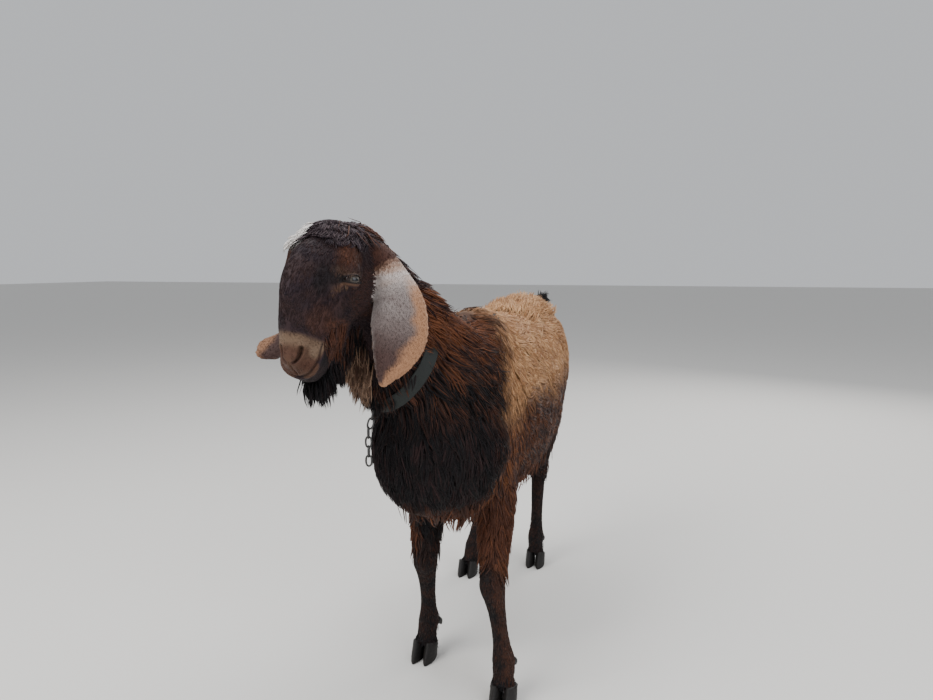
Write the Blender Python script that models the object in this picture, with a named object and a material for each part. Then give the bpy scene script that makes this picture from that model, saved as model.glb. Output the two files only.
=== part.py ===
"""A standing billy goat at life size: polled, lop-eared and Roman-nosed, with a long coat on its neck and chest.

It faces -Y, +Z is up and +X is its left. The origin is on the floor under the middle of the model's box.
The body is modelled whole from lofts and muscle masses, then parted with thin cuts. Each part takes its own locks.
"""

import math
import random

import bmesh
import bpy
import numpy as np
from mathutils import Matrix, Vector
from mathutils.bvhtree import BVHTree

# Driving dimensions, in metres
WITHERS_HEIGHT = 0.82
BODY_LENGTH = 0.885
BREAST_Y = -0.440
BARREL_HALF_WIDTH = 0.150
HEAD_LENGTH = 0.263
EYE_RADIUS = 0.0150
CUT_GAP = 0.0003
# A cut around a neighbour is made twice, as a wide one can leave a scrap in a narrow fold
CLEAR_GAPS = (0.0003, 0.0001)
SLIVER = 0.00003
# Where the middle of the model's box lies in the frame that the sizes below use
BOX_MIDDLE = Vector((-0.0685, -0.1047, 0.0))

GRAVITY = Vector((0.0, 0.0, -1.0))

# Fineness of the whole body before it is parted
VOXEL = 0.005
COARSE_SHARE = 0.0265
HEAD_SHARE = 0.036

# The head's place: its poll, and how far it turns to the goat's right, nods down and leans
POLL = Vector((-0.145, -0.538, 0.950))
HEAD_TURN = math.radians(7.5)
HEAD_NOD = math.radians(52)
HEAD_LEAN = math.radians(-3)

# Joint places for each leg: elbow or stifle, knee or hock, fetlock, and the middle of the hoof on the floor
LEFT_FORE = ((0.074, -0.262, 0.420), (0.086, -0.338, 0.235), (0.112, -0.345, 0.082), (0.116, -0.362, 0.0))
RIGHT_FORE = ((-0.086, -0.256, 0.420), (-0.088, -0.262, 0.235), (-0.093, -0.232, 0.082), (-0.097, -0.250, 0.0))
LEFT_HIND = ((0.082, 0.212, 0.470), (0.040, 0.378, 0.272), (0.042, 0.336, 0.082), (0.045, 0.318, 0.0))
RIGHT_HIND = ((-0.108, 0.150, 0.470), (-0.092, 0.276, 0.272), (-0.120, 0.222, 0.082), (-0.130, 0.200, 0.0))

# Coats, as linear base colour
DARK_MAHOGANY = (0.030, 0.014, 0.010)
NEAR_BLACK = (0.012, 0.009, 0.009)
TAN = (0.260, 0.135, 0.060)
EAR_TAN = (0.330, 0.200, 0.130)
HOOF_GREY = (0.050, 0.045, 0.042)
EYE_AMBER = (0.120, 0.075, 0.030)
STRAP_BLACK = (0.012, 0.014, 0.014)
STEEL = (0.350, 0.350, 0.360)

RING_SIDES = 40


def clear_scene():
    for obj in list(bpy.data.objects):
        bpy.data.objects.remove(obj)


def material(name, colour, roughness=0.7, metallic=0.0):
    made = bpy.data.materials.get(name) or bpy.data.materials.new(name)
    made.use_nodes = True
    shader = made.node_tree.nodes["Principled BSDF"]
    shader.inputs["Base Color"].default_value = (*colour, 1.0)
    shader.inputs["Roughness"].default_value = roughness
    shader.inputs["Metallic"].default_value = metallic
    return made


def mesh_object(name, points, faces):
    mesh = bpy.data.meshes.new(name)
    mesh.from_pydata([tuple(p) for p in points], [], faces)
    mesh.validate()
    obj = bpy.data.objects.new(name, mesh)
    bpy.context.scene.collection.objects.link(obj)
    return obj


def facing_out(obj):
    shape = bmesh.new()
    shape.from_mesh(obj.data)
    bmesh.ops.recalc_face_normals(shape, faces=shape.faces[:])
    shape.to_mesh(obj.data)
    shape.free()
    return obj


def apply_modifiers(obj):
    """The object's mesh becomes what its modifiers make of it."""
    graph = bpy.context.evaluated_depsgraph_get()
    made = bpy.data.meshes.new_from_object(obj.evaluated_get(graph))
    obj.modifiers.clear()
    obj.data = made
    return obj


def copy_of(obj, name):
    made = obj.copy()
    made.data = obj.data.copy()
    made.name = name
    bpy.context.scene.collection.objects.link(made)
    return made


def discard(*objects):
    for obj in objects:
        bpy.data.objects.remove(obj)


def join(name, objects):
    """One object that holds every mesh of the list, still as separate shells."""
    shape = bmesh.new()
    for obj in objects:
        placed = obj.data.copy()
        placed.transform(obj.matrix_world)
        shape.from_mesh(placed)
        bpy.data.meshes.remove(placed)
    mesh = bpy.data.meshes.new(name)
    shape.to_mesh(mesh)
    shape.free()
    discard(*objects)
    made = bpy.data.objects.new(name, mesh)
    bpy.context.scene.collection.objects.link(made)
    return made


def smooth_row(rows, count):
    """Rows of numbers read again at count even steps along a smooth curve through them."""
    rows = np.array(rows, float)
    padded = np.vstack([2 * rows[0] - rows[1], rows, 2 * rows[-1] - rows[-2]])
    made = []
    for step in np.linspace(0, len(rows) - 1, count):
        i = min(int(step), len(rows) - 2)
        t = step - i
        a, b, c, d = padded[i : i + 4]
        made.append(0.5 * (2 * b + (c - a) * t + (2 * a - 5 * b + 4 * c - d) * t**2 + (3 * b - a - 3 * c + d) * t**3))
    return np.array(made)


def ring(centre, side, up, half_width, above, below, power=2.0, sides=RING_SIDES):
    """A rounded ring across a limb: half_width to each side, above and below its centre. Over 2, power squares it."""
    points = []
    for i in range(sides):
        angle = math.tau * i / sides
        c, s = math.cos(angle), math.sin(angle)
        across = math.copysign(abs(c) ** (2 / power), c) * half_width
        along = math.copysign(abs(s) ** (2 / power), s) * (above if s > 0 else below)
        points.append(centre + side * across + up * along)
    return points


def loft(name, rings):
    """A closed body through rings of the same number of points."""
    sides = len(rings[0])
    points = [p for r in rings for p in r]
    faces = [
        (k * sides + i, k * sides + (i + 1) % sides, (k + 1) * sides + (i + 1) % sides, (k + 1) * sides + i)
        for k in range(len(rings) - 1)
        for i in range(sides)
    ]
    faces.append(tuple(range(sides))[::-1])
    faces.append(tuple(range((len(rings) - 1) * sides, len(rings) * sides)))
    return facing_out(mesh_object(name, points, faces))


def mass(name, centre, radii, tilt=(0.0, 0.0, 0.0), fineness=24):
    """A muscle as an ellipsoid, tilted by degrees about X, Y and Z."""
    shape = bmesh.new()
    bmesh.ops.create_uvsphere(shape, u_segments=fineness, v_segments=fineness * 2 // 3, radius=1.0)
    turn = Matrix.Rotation(math.radians(tilt[2]), 4, "Z") @ Matrix.Rotation(math.radians(tilt[1]), 4, "Y")
    turn = turn @ Matrix.Rotation(math.radians(tilt[0]), 4, "X")
    shape.transform(Matrix.Translation(centre) @ turn @ Matrix.Diagonal((*radii, 1.0)))
    mesh = bpy.data.meshes.new(name)
    shape.to_mesh(mesh)
    shape.free()
    obj = bpy.data.objects.new(name, mesh)
    bpy.context.scene.collection.objects.link(obj)
    return obj


def head_matrix():
    """Takes head coordinates to the goat's: X to its left, Y along the face from the poll, Z out of the forehead."""
    face = Vector(
        (
            -math.sin(HEAD_TURN) * math.cos(HEAD_NOD),
            -math.cos(HEAD_TURN) * math.cos(HEAD_NOD),
            -math.sin(HEAD_NOD),
        )
    )
    left = Vector((math.cos(HEAD_TURN), -math.sin(HEAD_TURN), 0.0))
    left = Matrix.Rotation(HEAD_LEAN, 3, face) @ left
    crown = face.cross(left)
    made = Matrix((left, face, crown)).transposed().to_4x4()
    made.translation = POLL
    return made


HEAD = head_matrix()


# Torso stations: along the body, then top, bottom and half width, as shares of the driving dimensions
TORSO = (
    (0.000, 0.70, 0.62, 0.26),
    (0.030, 0.79, 0.53, 0.52),
    (0.095, 0.89, 0.465, 0.66),
    (0.210, 0.985, 0.440, 0.74),
    (0.340, 0.985, 0.425, 0.86),
    (0.480, 0.955, 0.430, 0.97),
    (0.620, 0.945, 0.450, 1.00),
    (0.740, 0.960, 0.510, 0.93),
    (0.850, 0.970, 0.600, 0.80),
    (0.940, 0.935, 0.680, 0.62),
    (1.000, 0.860, 0.760, 0.34),
)


def torso():
    rings = []
    for along, top, bottom, width in smooth_row(TORSO, 30):
        high, low = top * WITHERS_HEIGHT, bottom * WITHERS_HEIGHT
        middle = low + (high - low) * 0.46
        centre = Vector((0.0, BREAST_Y + along * BODY_LENGTH, middle))
        half = max(width, 0.1) * BARREL_HALF_WIDTH
        rings.append(ring(centre, Vector((1, 0, 0)), Vector((0, 0, 1)), half, high - middle, middle - low, 2.15))
    return loft("torso_form", rings)


# Neck stations: centre, then half width, half depth towards the nape and towards the throat
NECK = (
    ((-0.004, -0.262, 0.600), 0.104, 0.200, 0.150),
    ((-0.020, -0.325, 0.650), 0.110, 0.140, 0.145),
    ((-0.058, -0.380, 0.718), 0.098, 0.102, 0.128),
    ((-0.096, -0.428, 0.785), 0.086, 0.094, 0.106),
    ((-0.122, -0.462, 0.845), 0.077, 0.088, 0.086),
    ((-0.138, -0.485, 0.893), 0.060, 0.066, 0.058),
)


def neck():
    rows = [(*centre, wide, nape, throat) for centre, wide, nape, throat in NECK]
    stations = smooth_row(rows, 18)
    rings = []
    for i, row in enumerate(stations):
        centre = Vector(row[:3])
        ahead = Vector(stations[min(i + 1, len(stations) - 1)][:3])
        behind = Vector(stations[max(i - 1, 0)][:3])
        along = (ahead - behind).normalized()
        side = along.cross(Vector((0, 0, 1))).normalized() * -1
        side = side if side.x > 0 else -side
        nape = side.cross(along).normalized()
        nape = nape if nape.y > 0 else -nape
        rings.append(ring(centre, side, nape, row[3], row[4], row[5], 2.1))
    return loft("neck_form", rings)


# Head stations: along the face, then top, bottom and half width in metres, and how square the ring is
SKULL = (
    (-0.20, -0.030, -0.088, 0.044, 2.0),
    (-0.08, 0.004, -0.116, 0.060, 2.1),
    (0.04, 0.024, -0.134, 0.068, 2.2),
    (0.14, 0.037, -0.142, 0.069, 2.2),
    (0.26, 0.055, -0.140, 0.065, 2.1),
    (0.39, 0.064, -0.130, 0.059, 2.0),
    (0.53, 0.063, -0.118, 0.052, 2.0),
    (0.67, 0.047, -0.109, 0.045, 2.0),
    (0.79, 0.025, -0.103, 0.040, 2.1),
    (0.89, -0.001, -0.101, 0.036, 2.2),
    (0.955, -0.022, -0.097, 0.029, 2.1),
    (1.00, -0.042, -0.084, 0.017, 2.0),
)


def skull():
    rings = []
    left, out = Vector((1, 0, 0)), Vector((0, 0, 1))
    for along, top, bottom, half, power in smooth_row(SKULL, 30):
        middle = bottom + (top - bottom) * 0.5
        local = ring(Vector((0, along * HEAD_LENGTH, middle)), left, out, half, top - middle, middle - bottom, power)
        rings.append([HEAD @ p for p in local])
    return loft("skull_form", rings)


def head_mass(name, place, radii, tilt=(0.0, 0.0, 0.0)):
    """An ellipsoid given in head coordinates."""
    made = mass(name, place, radii, tilt)
    made.data.transform(HEAD)
    return facing_out(made)


def head_masses():
    made = [
        head_mass("forehead", (0, 0.040, 0.006), (0.050, 0.052, 0.042)),
        head_mass("poll_mound", (0, -0.006, -0.010), (0.050, 0.030, 0.030)),
        head_mass("nose_arch", (0, 0.118, 0.024), (0.037, 0.080, 0.046)),
        head_mass("chin", (0, 0.218, -0.104), (0.026, 0.032, 0.018), (8, 0, 0)),
        head_mass("nose_pad", (0, 0.244, -0.034), (0.026, 0.020, 0.024)),
    ]
    for side in (1, -1):
        made += [
            head_mass("brow", (side * 0.044, 0.062, 0.016), (0.024, 0.030, 0.020), (0, side * 24, 0)),
            head_mass("orbit", (side * 0.0545, 0.085, -0.007), (0.022, 0.028, 0.026)),
            head_mass("cheek", (side * 0.042, 0.052, -0.082), (0.033, 0.066, 0.058)),
            head_mass("cheek_bone", (side * 0.040, 0.125, -0.030), (0.016, 0.052, 0.018)),
            head_mass("lip", (side * 0.022, 0.230, -0.052), (0.020, 0.032, 0.024)),
            head_mass("jaw_bar", (side * 0.020, 0.155, -0.108), (0.018, 0.078, 0.018), (4, 0, 0)),
        ]
    return made


def leg_form(name, upper, joints, sizes):
    """A leg as level rings. upper lists rings above the first joint, sizes the rings from there down.

    Each size is (joint index and share towards the next, half width, half depth, shift back).
    """
    rings = []
    for (x, y, z), wide, deep in upper:
        rings.append((Vector((x, y, z)), wide, deep))
    for step, wide, deep, back in sizes:
        i = min(int(step), len(joints) - 2)
        here = Vector(joints[i]).lerp(Vector(joints[i + 1]), step - i)
        rings.append((here + Vector((0, back, 0)), wide, deep))
    rows = smooth_row([(*centre, wide, deep) for centre, wide, deep in rings], 4 * len(rings))
    side, ahead = Vector((1, 0, 0)), Vector((0, 1, 0))
    return loft(name, [ring(Vector(r[:3]), side, ahead, r[3], r[4], r[4], 2.0, 20) for r in rows])


FORE_SIZES = (
    (0.00, 0.038, 0.054, 0.000),
    (0.35, 0.035, 0.042, 0.004),
    (0.75, 0.028, 0.031, 0.002),
    (1.00, 0.0285, 0.031, -0.002),
    (1.22, 0.022, 0.025, 0.003),
    (1.55, 0.0180, 0.0215, 0.005),
    (1.82, 0.0195, 0.024, 0.004),
    (2.00, 0.0255, 0.0285, 0.002),
    (2.35, 0.0225, 0.0240, -0.001),
    (2.60, 0.0265, 0.0290, -0.002),
    (3.00, 0.0270, 0.0320, -0.002),
)

HIND_SIZES = (
    (0.00, 0.050, 0.086, 0.020),
    (0.35, 0.038, 0.058, 0.004),
    (0.75, 0.0235, 0.038, 0.000),
    (1.00, 0.0240, 0.0330, 0.004),
    (1.25, 0.0205, 0.0265, 0.000),
    (1.60, 0.0180, 0.0230, 0.002),
    (1.85, 0.0195, 0.0240, 0.002),
    (2.00, 0.0250, 0.0280, 0.002),
    (2.35, 0.0220, 0.0240, -0.001),
    (2.60, 0.0260, 0.0290, -0.002),
    (3.00, 0.0270, 0.0320, -0.002),
)


def fore_leg(side, joints):
    """Shoulder blade, upper arm and foreleg of one side. side is 1 on the goat's left."""
    elbow = Vector(joints[0])
    upper = [((side * 0.050, -0.262, 0.60), 0.030, 0.060), ((side * 0.066, -0.262, 0.49), 0.036, 0.066)]
    return [
        leg_form("fore_form", upper, joints, FORE_SIZES),
        mass("shoulder_blade", (side * 0.066, -0.262, 0.635), (0.040, 0.082, 0.165), (-12, 0, 0)),
        mass("shoulder_point", (side * 0.070, -0.345, 0.530), (0.043, 0.062, 0.080)),
        mass("elbow_point", elbow + Vector((0, 0.030, 0.012)), (0.030, 0.030, 0.034)),
    ]


def hind_leg(side, joints):
    """Thigh, gaskin and hind leg of one side."""
    stifle = Vector(joints[0])
    upper = [
        ((side * 0.070, 0.300, 0.700), 0.046, 0.110),
        ((stifle.x * 0.4 + side * 0.050, stifle.y * 0.5 + 0.150, 0.600), 0.054, 0.120),
    ]
    hock = Vector(joints[1])
    return [
        leg_form("hind_form", upper, joints, HIND_SIZES),
        mass("thigh", (side * 0.052 + stifle.x * 0.4, 0.288, 0.610), (0.055, 0.125, 0.150), (10, 0, 0)),
        mass("stifle", stifle + Vector((side * 0.002, -0.020, 0.020)), (0.038, 0.045, 0.060)),
        mass("hock_point", hock + Vector((0, 0.030, 0.020)), (0.013, 0.016, 0.024)),
        mass("hip_bone", (side * 0.072, 0.235, 0.735), (0.032, 0.045, 0.030)),
        mass("seat_bone", (side * 0.050, 0.405, 0.665), (0.032, 0.036, 0.050)),
    ]


# The short dock of the tail, curled up: centre and half width
TAIL = (
    ((0.000, 0.385, 0.765), 0.026),
    ((0.006, 0.420, 0.773), 0.021),
    ((0.012, 0.446, 0.781), 0.017),
    ((0.018, 0.464, 0.793), 0.012),
    ((0.022, 0.472, 0.806), 0.006),
)


def tail_form():
    rows = smooth_row([(*centre, wide) for centre, wide in TAIL], 12)
    rings = []
    for i, row in enumerate(rows):
        along = Vector(rows[min(i + 1, 11)][:3]) - Vector(rows[max(i - 1, 0)][:3])
        side = Vector((1, 0, 0))
        up = side.cross(along.normalized())
        rings.append(ring(Vector(row[:3]), side, up, row[3], row[3] * 0.7, row[3] * 0.7, 2.0, 14))
    return loft("tail_form", rings)


def smooth_group(obj, name, weight_of):
    group = obj.vertex_groups.new(name=name)
    for vertex in obj.data.vertices:
        group.add([vertex.index], weight_of(vertex.co), "REPLACE")
    return name


def between(value, low, high):
    """0 below low, 1 above high, and smooth between them."""
    t = min(max((value - low) / (high - low), 0.0), 1.0)
    return t * t * (3 - 2 * t)


def body_weight(place):
    """How far a spot may be smoothed: all on the trunk, little on the lower legs and the face."""
    face = (HEAD.inverted() @ place).y
    return between(place.z, 0.33, 0.47) * (1 - between(face, -0.01, 0.05))


def whole_body():
    """The goat's flesh as one closed surface."""
    forms = [torso(), neck(), skull(), tail_form(), *head_masses()]
    forms += fore_leg(1, LEFT_FORE) + fore_leg(-1, RIGHT_FORE)
    forms += hind_leg(1, LEFT_HIND) + hind_leg(-1, RIGHT_HIND)
    forms.append(mass("sheath", (0.0, 0.125, 0.372), (0.024, 0.070, 0.024), (10, 0, 0)))
    forms.append(mass("breast", (-0.034, -0.394, 0.535), (0.110, 0.066, 0.140)))
    body = join("whole", forms)
    remesh = body.modifiers.new("skin", "REMESH")
    remesh.mode = "VOXEL"
    remesh.voxel_size = VOXEL
    apply_modifiers(body)
    group = smooth_group(body, "trunk", body_weight)
    for name, times, where in (("all_over", 9, ""), ("trunk_only", 90, group)):
        soften = body.modifiers.new(name, "SMOOTH")
        soften.factor = 0.5
        soften.iterations = times
        soften.vertex_group = where
    return apply_modifiers(body)


def thinned(obj, name, share):
    """A copy of a fine mesh with that share of its triangles."""
    made = copy_of(obj, name)
    made.vertex_groups.clear()
    thin = made.modifiers.new("thin", "DECIMATE")
    thin.ratio = share
    thin.use_collapse_triangulate = True
    return apply_modifiers(made)


def largest_shell(obj):
    """Keeps the largest closed surface and drops the rest."""
    shape = bmesh.new()
    shape.from_mesh(obj.data)
    left = set(shape.faces)
    shells = []
    while left:
        stack = [left.pop()]
        shell = []
        while stack:
            face = stack.pop()
            shell.append(face)
            for edge in face.edges:
                for other in edge.link_faces:
                    if other in left:
                        left.discard(other)
                        stack.append(other)
        shells.append(shell)
    keep = max(shells, key=lambda faces: sum(f.calc_area() for f in faces))
    bmesh.ops.delete(shape, geom=[f for shell in shells if shell is not keep for f in shell], context="FACES")
    shape.to_mesh(obj.data)
    shape.free()
    return obj


def merge_short_edges(shape):
    """Merges the ends of one too short edge after another, where that keeps the surface closed."""
    waiting = [edge for edge in shape.edges if edge.calc_length() < SLIVER]
    while waiting:
        edge = waiting.pop()
        if not edge.is_valid or edge.calc_length() >= SLIVER:
            continue
        one, other = edge.verts
        around = {e.other_vert(one) for e in one.link_edges} & {e.other_vert(other) for e in other.link_edges}
        if len(around) == 2:
            bmesh.ops.pointmerge(shape, verts=[one, other], merge_co=(one.co + other.co) / 2)


def turn_flat_faces(shape):
    """Turns the longest edge of each triangle that is too thin across it."""
    for face in list(shape.faces):
        if not face.is_valid:
            continue
        longest = max(face.edges, key=lambda e: e.calc_length())
        if 2 * face.calc_area() / longest.calc_length() >= SLIVER:
            continue
        corners = [next(v for v in f.verts if v not in longest.verts) for f in longest.link_faces]
        if any(e.other_vert(corners[0]) is corners[1] for e in corners[0].link_edges):
            continue
        bmesh.utils.edge_rotate(longest, True)


def neat(obj):
    """Takes out the slivers that cuts and unions leave, and makes every face a triangle."""
    shape = bmesh.new()
    shape.from_mesh(obj.data)
    bmesh.ops.triangulate(shape, faces=shape.faces[:])
    for _ in range(3):
        merge_short_edges(shape)
        turn_flat_faces(shape)
    shape.to_mesh(obj.data)
    shape.free()
    return obj


def boolean(obj, other, operation, solver="MANIFOLD"):
    """Applies one Boolean with an object or a collection."""
    change = obj.modifiers.new(operation.lower(), "BOOLEAN")
    change.operation = operation
    change.solver = solver
    if isinstance(other, bpy.types.Collection):
        change.operand_type = "COLLECTION"
        change.collection = other
    else:
        change.object = other
    apply_modifiers(obj)
    return obj


def box_cutter(low, high, turn, grow=0.0):
    """A box between two corners of a turned frame, grown on every side."""
    low = Vector(low) - Vector((grow,) * 3)
    high = Vector(high) + Vector((grow,) * 3)
    shape = bmesh.new()
    bmesh.ops.create_cube(shape, size=1.0)
    shape.transform(turn @ Matrix.Translation((low + high) / 2) @ Matrix.Diagonal((*(high - low), 1.0)))
    mesh = bpy.data.meshes.new("cut")
    shape.to_mesh(mesh)
    shape.free()
    obj = bpy.data.objects.new("cut", mesh)
    bpy.context.scene.collection.objects.link(obj)
    obj.hide_render = True
    obj.display_type = "WIRE"
    return facing_out(obj)


def frame_at(place, up):
    """A frame whose Z axis is up and whose X axis stays level."""
    z = Vector(up).normalized()
    x = Vector((0, 1, 0)).cross(z).normalized()
    y = z.cross(x)
    made = Matrix((x, y, z)).transposed().to_4x4()
    made.translation = place
    return made


# The cuts that part the body. Each is a frame whose Z axis points out of the torso.
NECK_CUT = frame_at((0.0, -0.378, 0.700), (-0.16, -0.78, 0.60))
HEAD_CUT = HEAD @ frame_at((0.0, 0.000, -0.060), (0.0, 0.985, 0.175))
HEAD_SPACE = (-0.20, -0.112, 0.0), (0.20, 0.20, 0.35)
TAIL_CUT = frame_at((0.003, 0.412, 0.771), (0.0, 0.88, 0.47))
TAIL_SPACE = (-0.06, -0.12, 0.0), (0.06, 0.05, 0.30)
FORE_TOP = 0.425
FORE_INSIDE = 0.040
KNEE_CUT_Z = 0.275
HIND_CUT = Matrix.Translation((0, 0.10, 0.43)) @ Matrix.Rotation(math.radians(36), 4, "X")
HOCK_SHARE = 0.80
CORONET_Z = 0.038
CORONET_SLOPE = 0.33
REACH = 0.7

LEGS = {
    "fore_left": LEFT_FORE,
    "fore_right": RIGHT_FORE,
    "hind_left": LEFT_HIND,
    "hind_right": RIGHT_HIND,
}
UPPER = {"fore_left": "forearm_left", "fore_right": "forearm_right", "hind_left": "thigh_left"}
UPPER["hind_right"] = "thigh_right"
LOWER = {"fore_left": "foreleg_left", "fore_right": "foreleg_right", "hind_left": "hindleg_left"}
LOWER["hind_right"] = "hindleg_right"


def leg_space(leg):
    """The block below the trunk that a whole leg fills, as its low and high corners and its frame."""
    side = 1 if leg.endswith("left") else -1
    if leg.startswith("fore"):
        inner, outer = sorted((side * FORE_INSIDE, side * 0.30))
        return (inner, -0.55, -0.2), (outer, -0.12, FORE_TOP), Matrix.Identity(4)
    inside = 0.004 if side > 0 else -0.022
    inner, outer = sorted((inside, side * 0.30))
    return (inner, -0.32, -0.80), (outer, 0.60, 0.0), HIND_CUT


def joint_cut(leg):
    """The frame of the cut across a leg at its knee or hock, pointing up."""
    joints = LEGS[leg]
    if leg.startswith("fore"):
        return Matrix.Translation((0, 0, KNEE_CUT_Z))
    top, hock = Vector(joints[0]), Vector(joints[1])
    return frame_at(top.lerp(hock, HOCK_SHARE), top - hock)


def coronet(leg):
    """The frame of the cut between a leg and its claws, pointing up."""
    x, y, _ = LEGS[leg][3]
    return frame_at((x, y, CORONET_Z), (0, CORONET_SLOPE, 1))


ABOVE = (-REACH, -REACH, 0.0), (REACH, REACH, REACH)
BELOW = (-REACH, -REACH, -REACH), (REACH, REACH, 0.0)


def keep_in(obj, low, high, turn):
    """Keeps what lies in a box, with half the gap of a cut taken from it."""
    cutter = box_cutter(low, high, turn, -CUT_GAP / 2)
    boolean(obj, cutter, "INTERSECT")
    discard(cutter)
    return obj


def cut_out(obj, low, high, turn):
    """Takes a box away, with half the gap of a cut around it."""
    cutter = box_cutter(low, high, turn, CUT_GAP / 2)
    boolean(obj, cutter, "DIFFERENCE")
    discard(cutter)
    return obj


def grown(obj, gap):
    """A copy of an object with its surface moved out by the gap."""
    made = copy_of(obj, "grown")
    push = made.modifiers.new("push", "DISPLACE")
    push.mid_level = 0.0
    push.strength = gap
    return apply_modifiers(made)


def clear_of(obj, *others):
    """Cuts an object clear of its neighbours by the gap, and keeps its largest closed surface."""
    for other in others:
        for gap in CLEAR_GAPS:
            cutter = grown(other, gap)
            boolean(obj, cutter, "DIFFERENCE")
            discard(cutter)
    return largest_shell(obj)


# The left ear in head coordinates: middle of the blade, half width, facing, and the arc of its cup in degrees
LEFT_EAR = (
    ((0.036, -0.002, -0.020), 0.020, (0.43, -0.29, 0.85), 190),
    ((0.070, 0.012, -0.033), 0.025, (0.46, -0.12, 0.88), 180),
    ((0.097, 0.040, -0.055), 0.027, (0.54, 0.14, 0.83), 140),
    ((0.120, 0.085, -0.082), 0.046, (0.60, 0.40, 0.69), 100),
    ((0.129, 0.135, -0.104), 0.051, (0.60, 0.47, 0.64), 80),
    ((0.124, 0.180, -0.119), 0.038, (0.57, 0.50, 0.64), 75),
    ((0.114, 0.212, -0.130), 0.018, (0.55, 0.50, 0.66), 70),
    ((0.109, 0.228, -0.134), 0.005, (0.55, 0.50, 0.66), 60),
)
# The right one, mirrored: it hangs closer to the cheek, and its end turns out and forward
RIGHT_EAR = (
    ((0.036, -0.002, -0.020), 0.020, (0.43, -0.29, 0.85), 190),
    ((0.066, 0.014, -0.036), 0.025, (0.50, -0.10, 0.86), 180),
    ((0.084, 0.045, -0.064), 0.028, (0.72, 0.20, 0.66), 140),
    ((0.091, 0.085, -0.090), 0.038, (0.86, 0.30, 0.40), 100),
    ((0.093, 0.127, -0.102), 0.042, (0.78, 0.32, 0.54), 80),
    ((0.101, 0.163, -0.100), 0.038, (0.42, 0.42, 0.80), 60),
    ((0.115, 0.197, -0.093), 0.029, (0.10, 0.50, 0.86), 50),
    ((0.125, 0.217, -0.088), 0.006, (0.05, 0.50, 0.86), 40),
)
EAR_THICK = (0.0075, 0.0042)
def ear(name, side):
    """A long lop ear as a thick cupped blade, hollow towards the neck."""
    rows = [(*c, half, *n, math.radians(arc)) for c, half, n, arc in (LEFT_EAR if side > 0 else RIGHT_EAR)]
    rows = smooth_row(rows, 11)
    across = 6
    rings = []
    for i, row in enumerate(rows):
        centre = Vector(row[:3])
        run = Vector(rows[min(i + 1, len(rows) - 1)][:3]) - Vector(rows[max(i - 1, 0)][:3])
        out = Vector(row[4:7])
        wide = run.cross(out).normalized()
        out = wide.cross(run).normalized()
        arc = row[7]
        radius = row[3] / math.sin(min(arc, math.pi) / 2)
        hub = centre - out * radius
        thick = EAR_THICK[0] + (EAR_THICK[1] - EAR_THICK[0]) * i / (len(rows) - 1)
        front, back = [], []
        for k in range(across):
            angle = (k / (across - 1) - 0.5) * arc
            spoke = out * math.cos(angle) + wide * math.sin(angle)
            edge = 1 - 0.45 * abs(k / (across - 1) * 2 - 1) ** 4
            front.append(hub + spoke * (radius + thick / 2 * edge))
            back.append(hub + spoke * (radius - thick / 2 * edge))
        rings.append([HEAD @ (p * Vector((side, 1, 1))) for p in front + back[::-1]])
    return loft(name, rings)


# The head's features in head coordinates, for its left side
EYE_PLACE = Vector((0.0596, 0.0979, -0.0088))
EYE_OUT = Vector((0.88, 0.22, 0.40)).normalized()
# Up across the lids, which stay level while the head is down
EYE_UP = Vector((-0.05, -0.85, 0.53))
LID_HALF_LENGTH = 0.0150
LID_HALF_HEIGHT = 0.0085
LID_THICK = 0.0030
OPENING_DEPTH = 0.016
OPENING_SHARE = 0.86
NOSTRIL = Vector((0.0170, 0.2475, -0.0160))
MOUTH = (
    (0.000, 0.262, -0.060),
    (0.014, 0.259, -0.055),
    (0.026, 0.250, -0.047),
    (0.034, 0.237, -0.042),
    (0.0375, 0.222, -0.037),
    (0.0385, 0.211, -0.034),
)


def eye_axes(side):
    """Unit axes of one eye in head coordinates: along the lids, up across them, and out."""
    mirror = Vector((side, 1, 1))
    out = (EYE_OUT * mirror).normalized()
    up = EYE_UP * mirror
    up = (up - out * out.dot(up)).normalized()
    return up.cross(out), up, out


def tube(name, points, radii, sides=8, side_hint=Vector((0, 0, 1)), flat=1.0):
    """A rounded tube along points, closed at both ends."""
    rings = []
    for i, here in enumerate(points):
        along = (points[min(i + 1, len(points) - 1)] - points[max(i - 1, 0)]).normalized()
        side = along.cross(side_hint).normalized()
        up = side.cross(along)
        rings.append(ring(here, side, up, radii[i], radii[i] * flat, radii[i] * flat, 2.0, sides))
    return loft(name, rings)


def surface_of(obj):
    shape = bmesh.new()
    shape.from_mesh(obj.data)
    tree = BVHTree.FromBMesh(shape)
    shape.free()
    return tree


def lid_ring(side, count=16):
    """The almond line of an eye's opening, on a ball a little over the eye."""
    along, up, out = eye_axes(side)
    centre = EYE_PLACE * Vector((side, 1, 1))
    points = []
    for i in range(count):
        angle = math.tau * i / count
        c, s = math.cos(angle), math.sin(angle)
        lift = LID_HALF_HEIGHT * (0.95 if s > 0 else 0.75) * s * (1 - 0.25 * abs(c) ** 3)
        flat = along * (c * LID_HALF_LENGTH) + up * lift
        points.append(HEAD @ (centre + (out * EYE_RADIUS * 0.72 + flat).normalized() * (EYE_RADIUS + 0.0012)))
    return points


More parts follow.
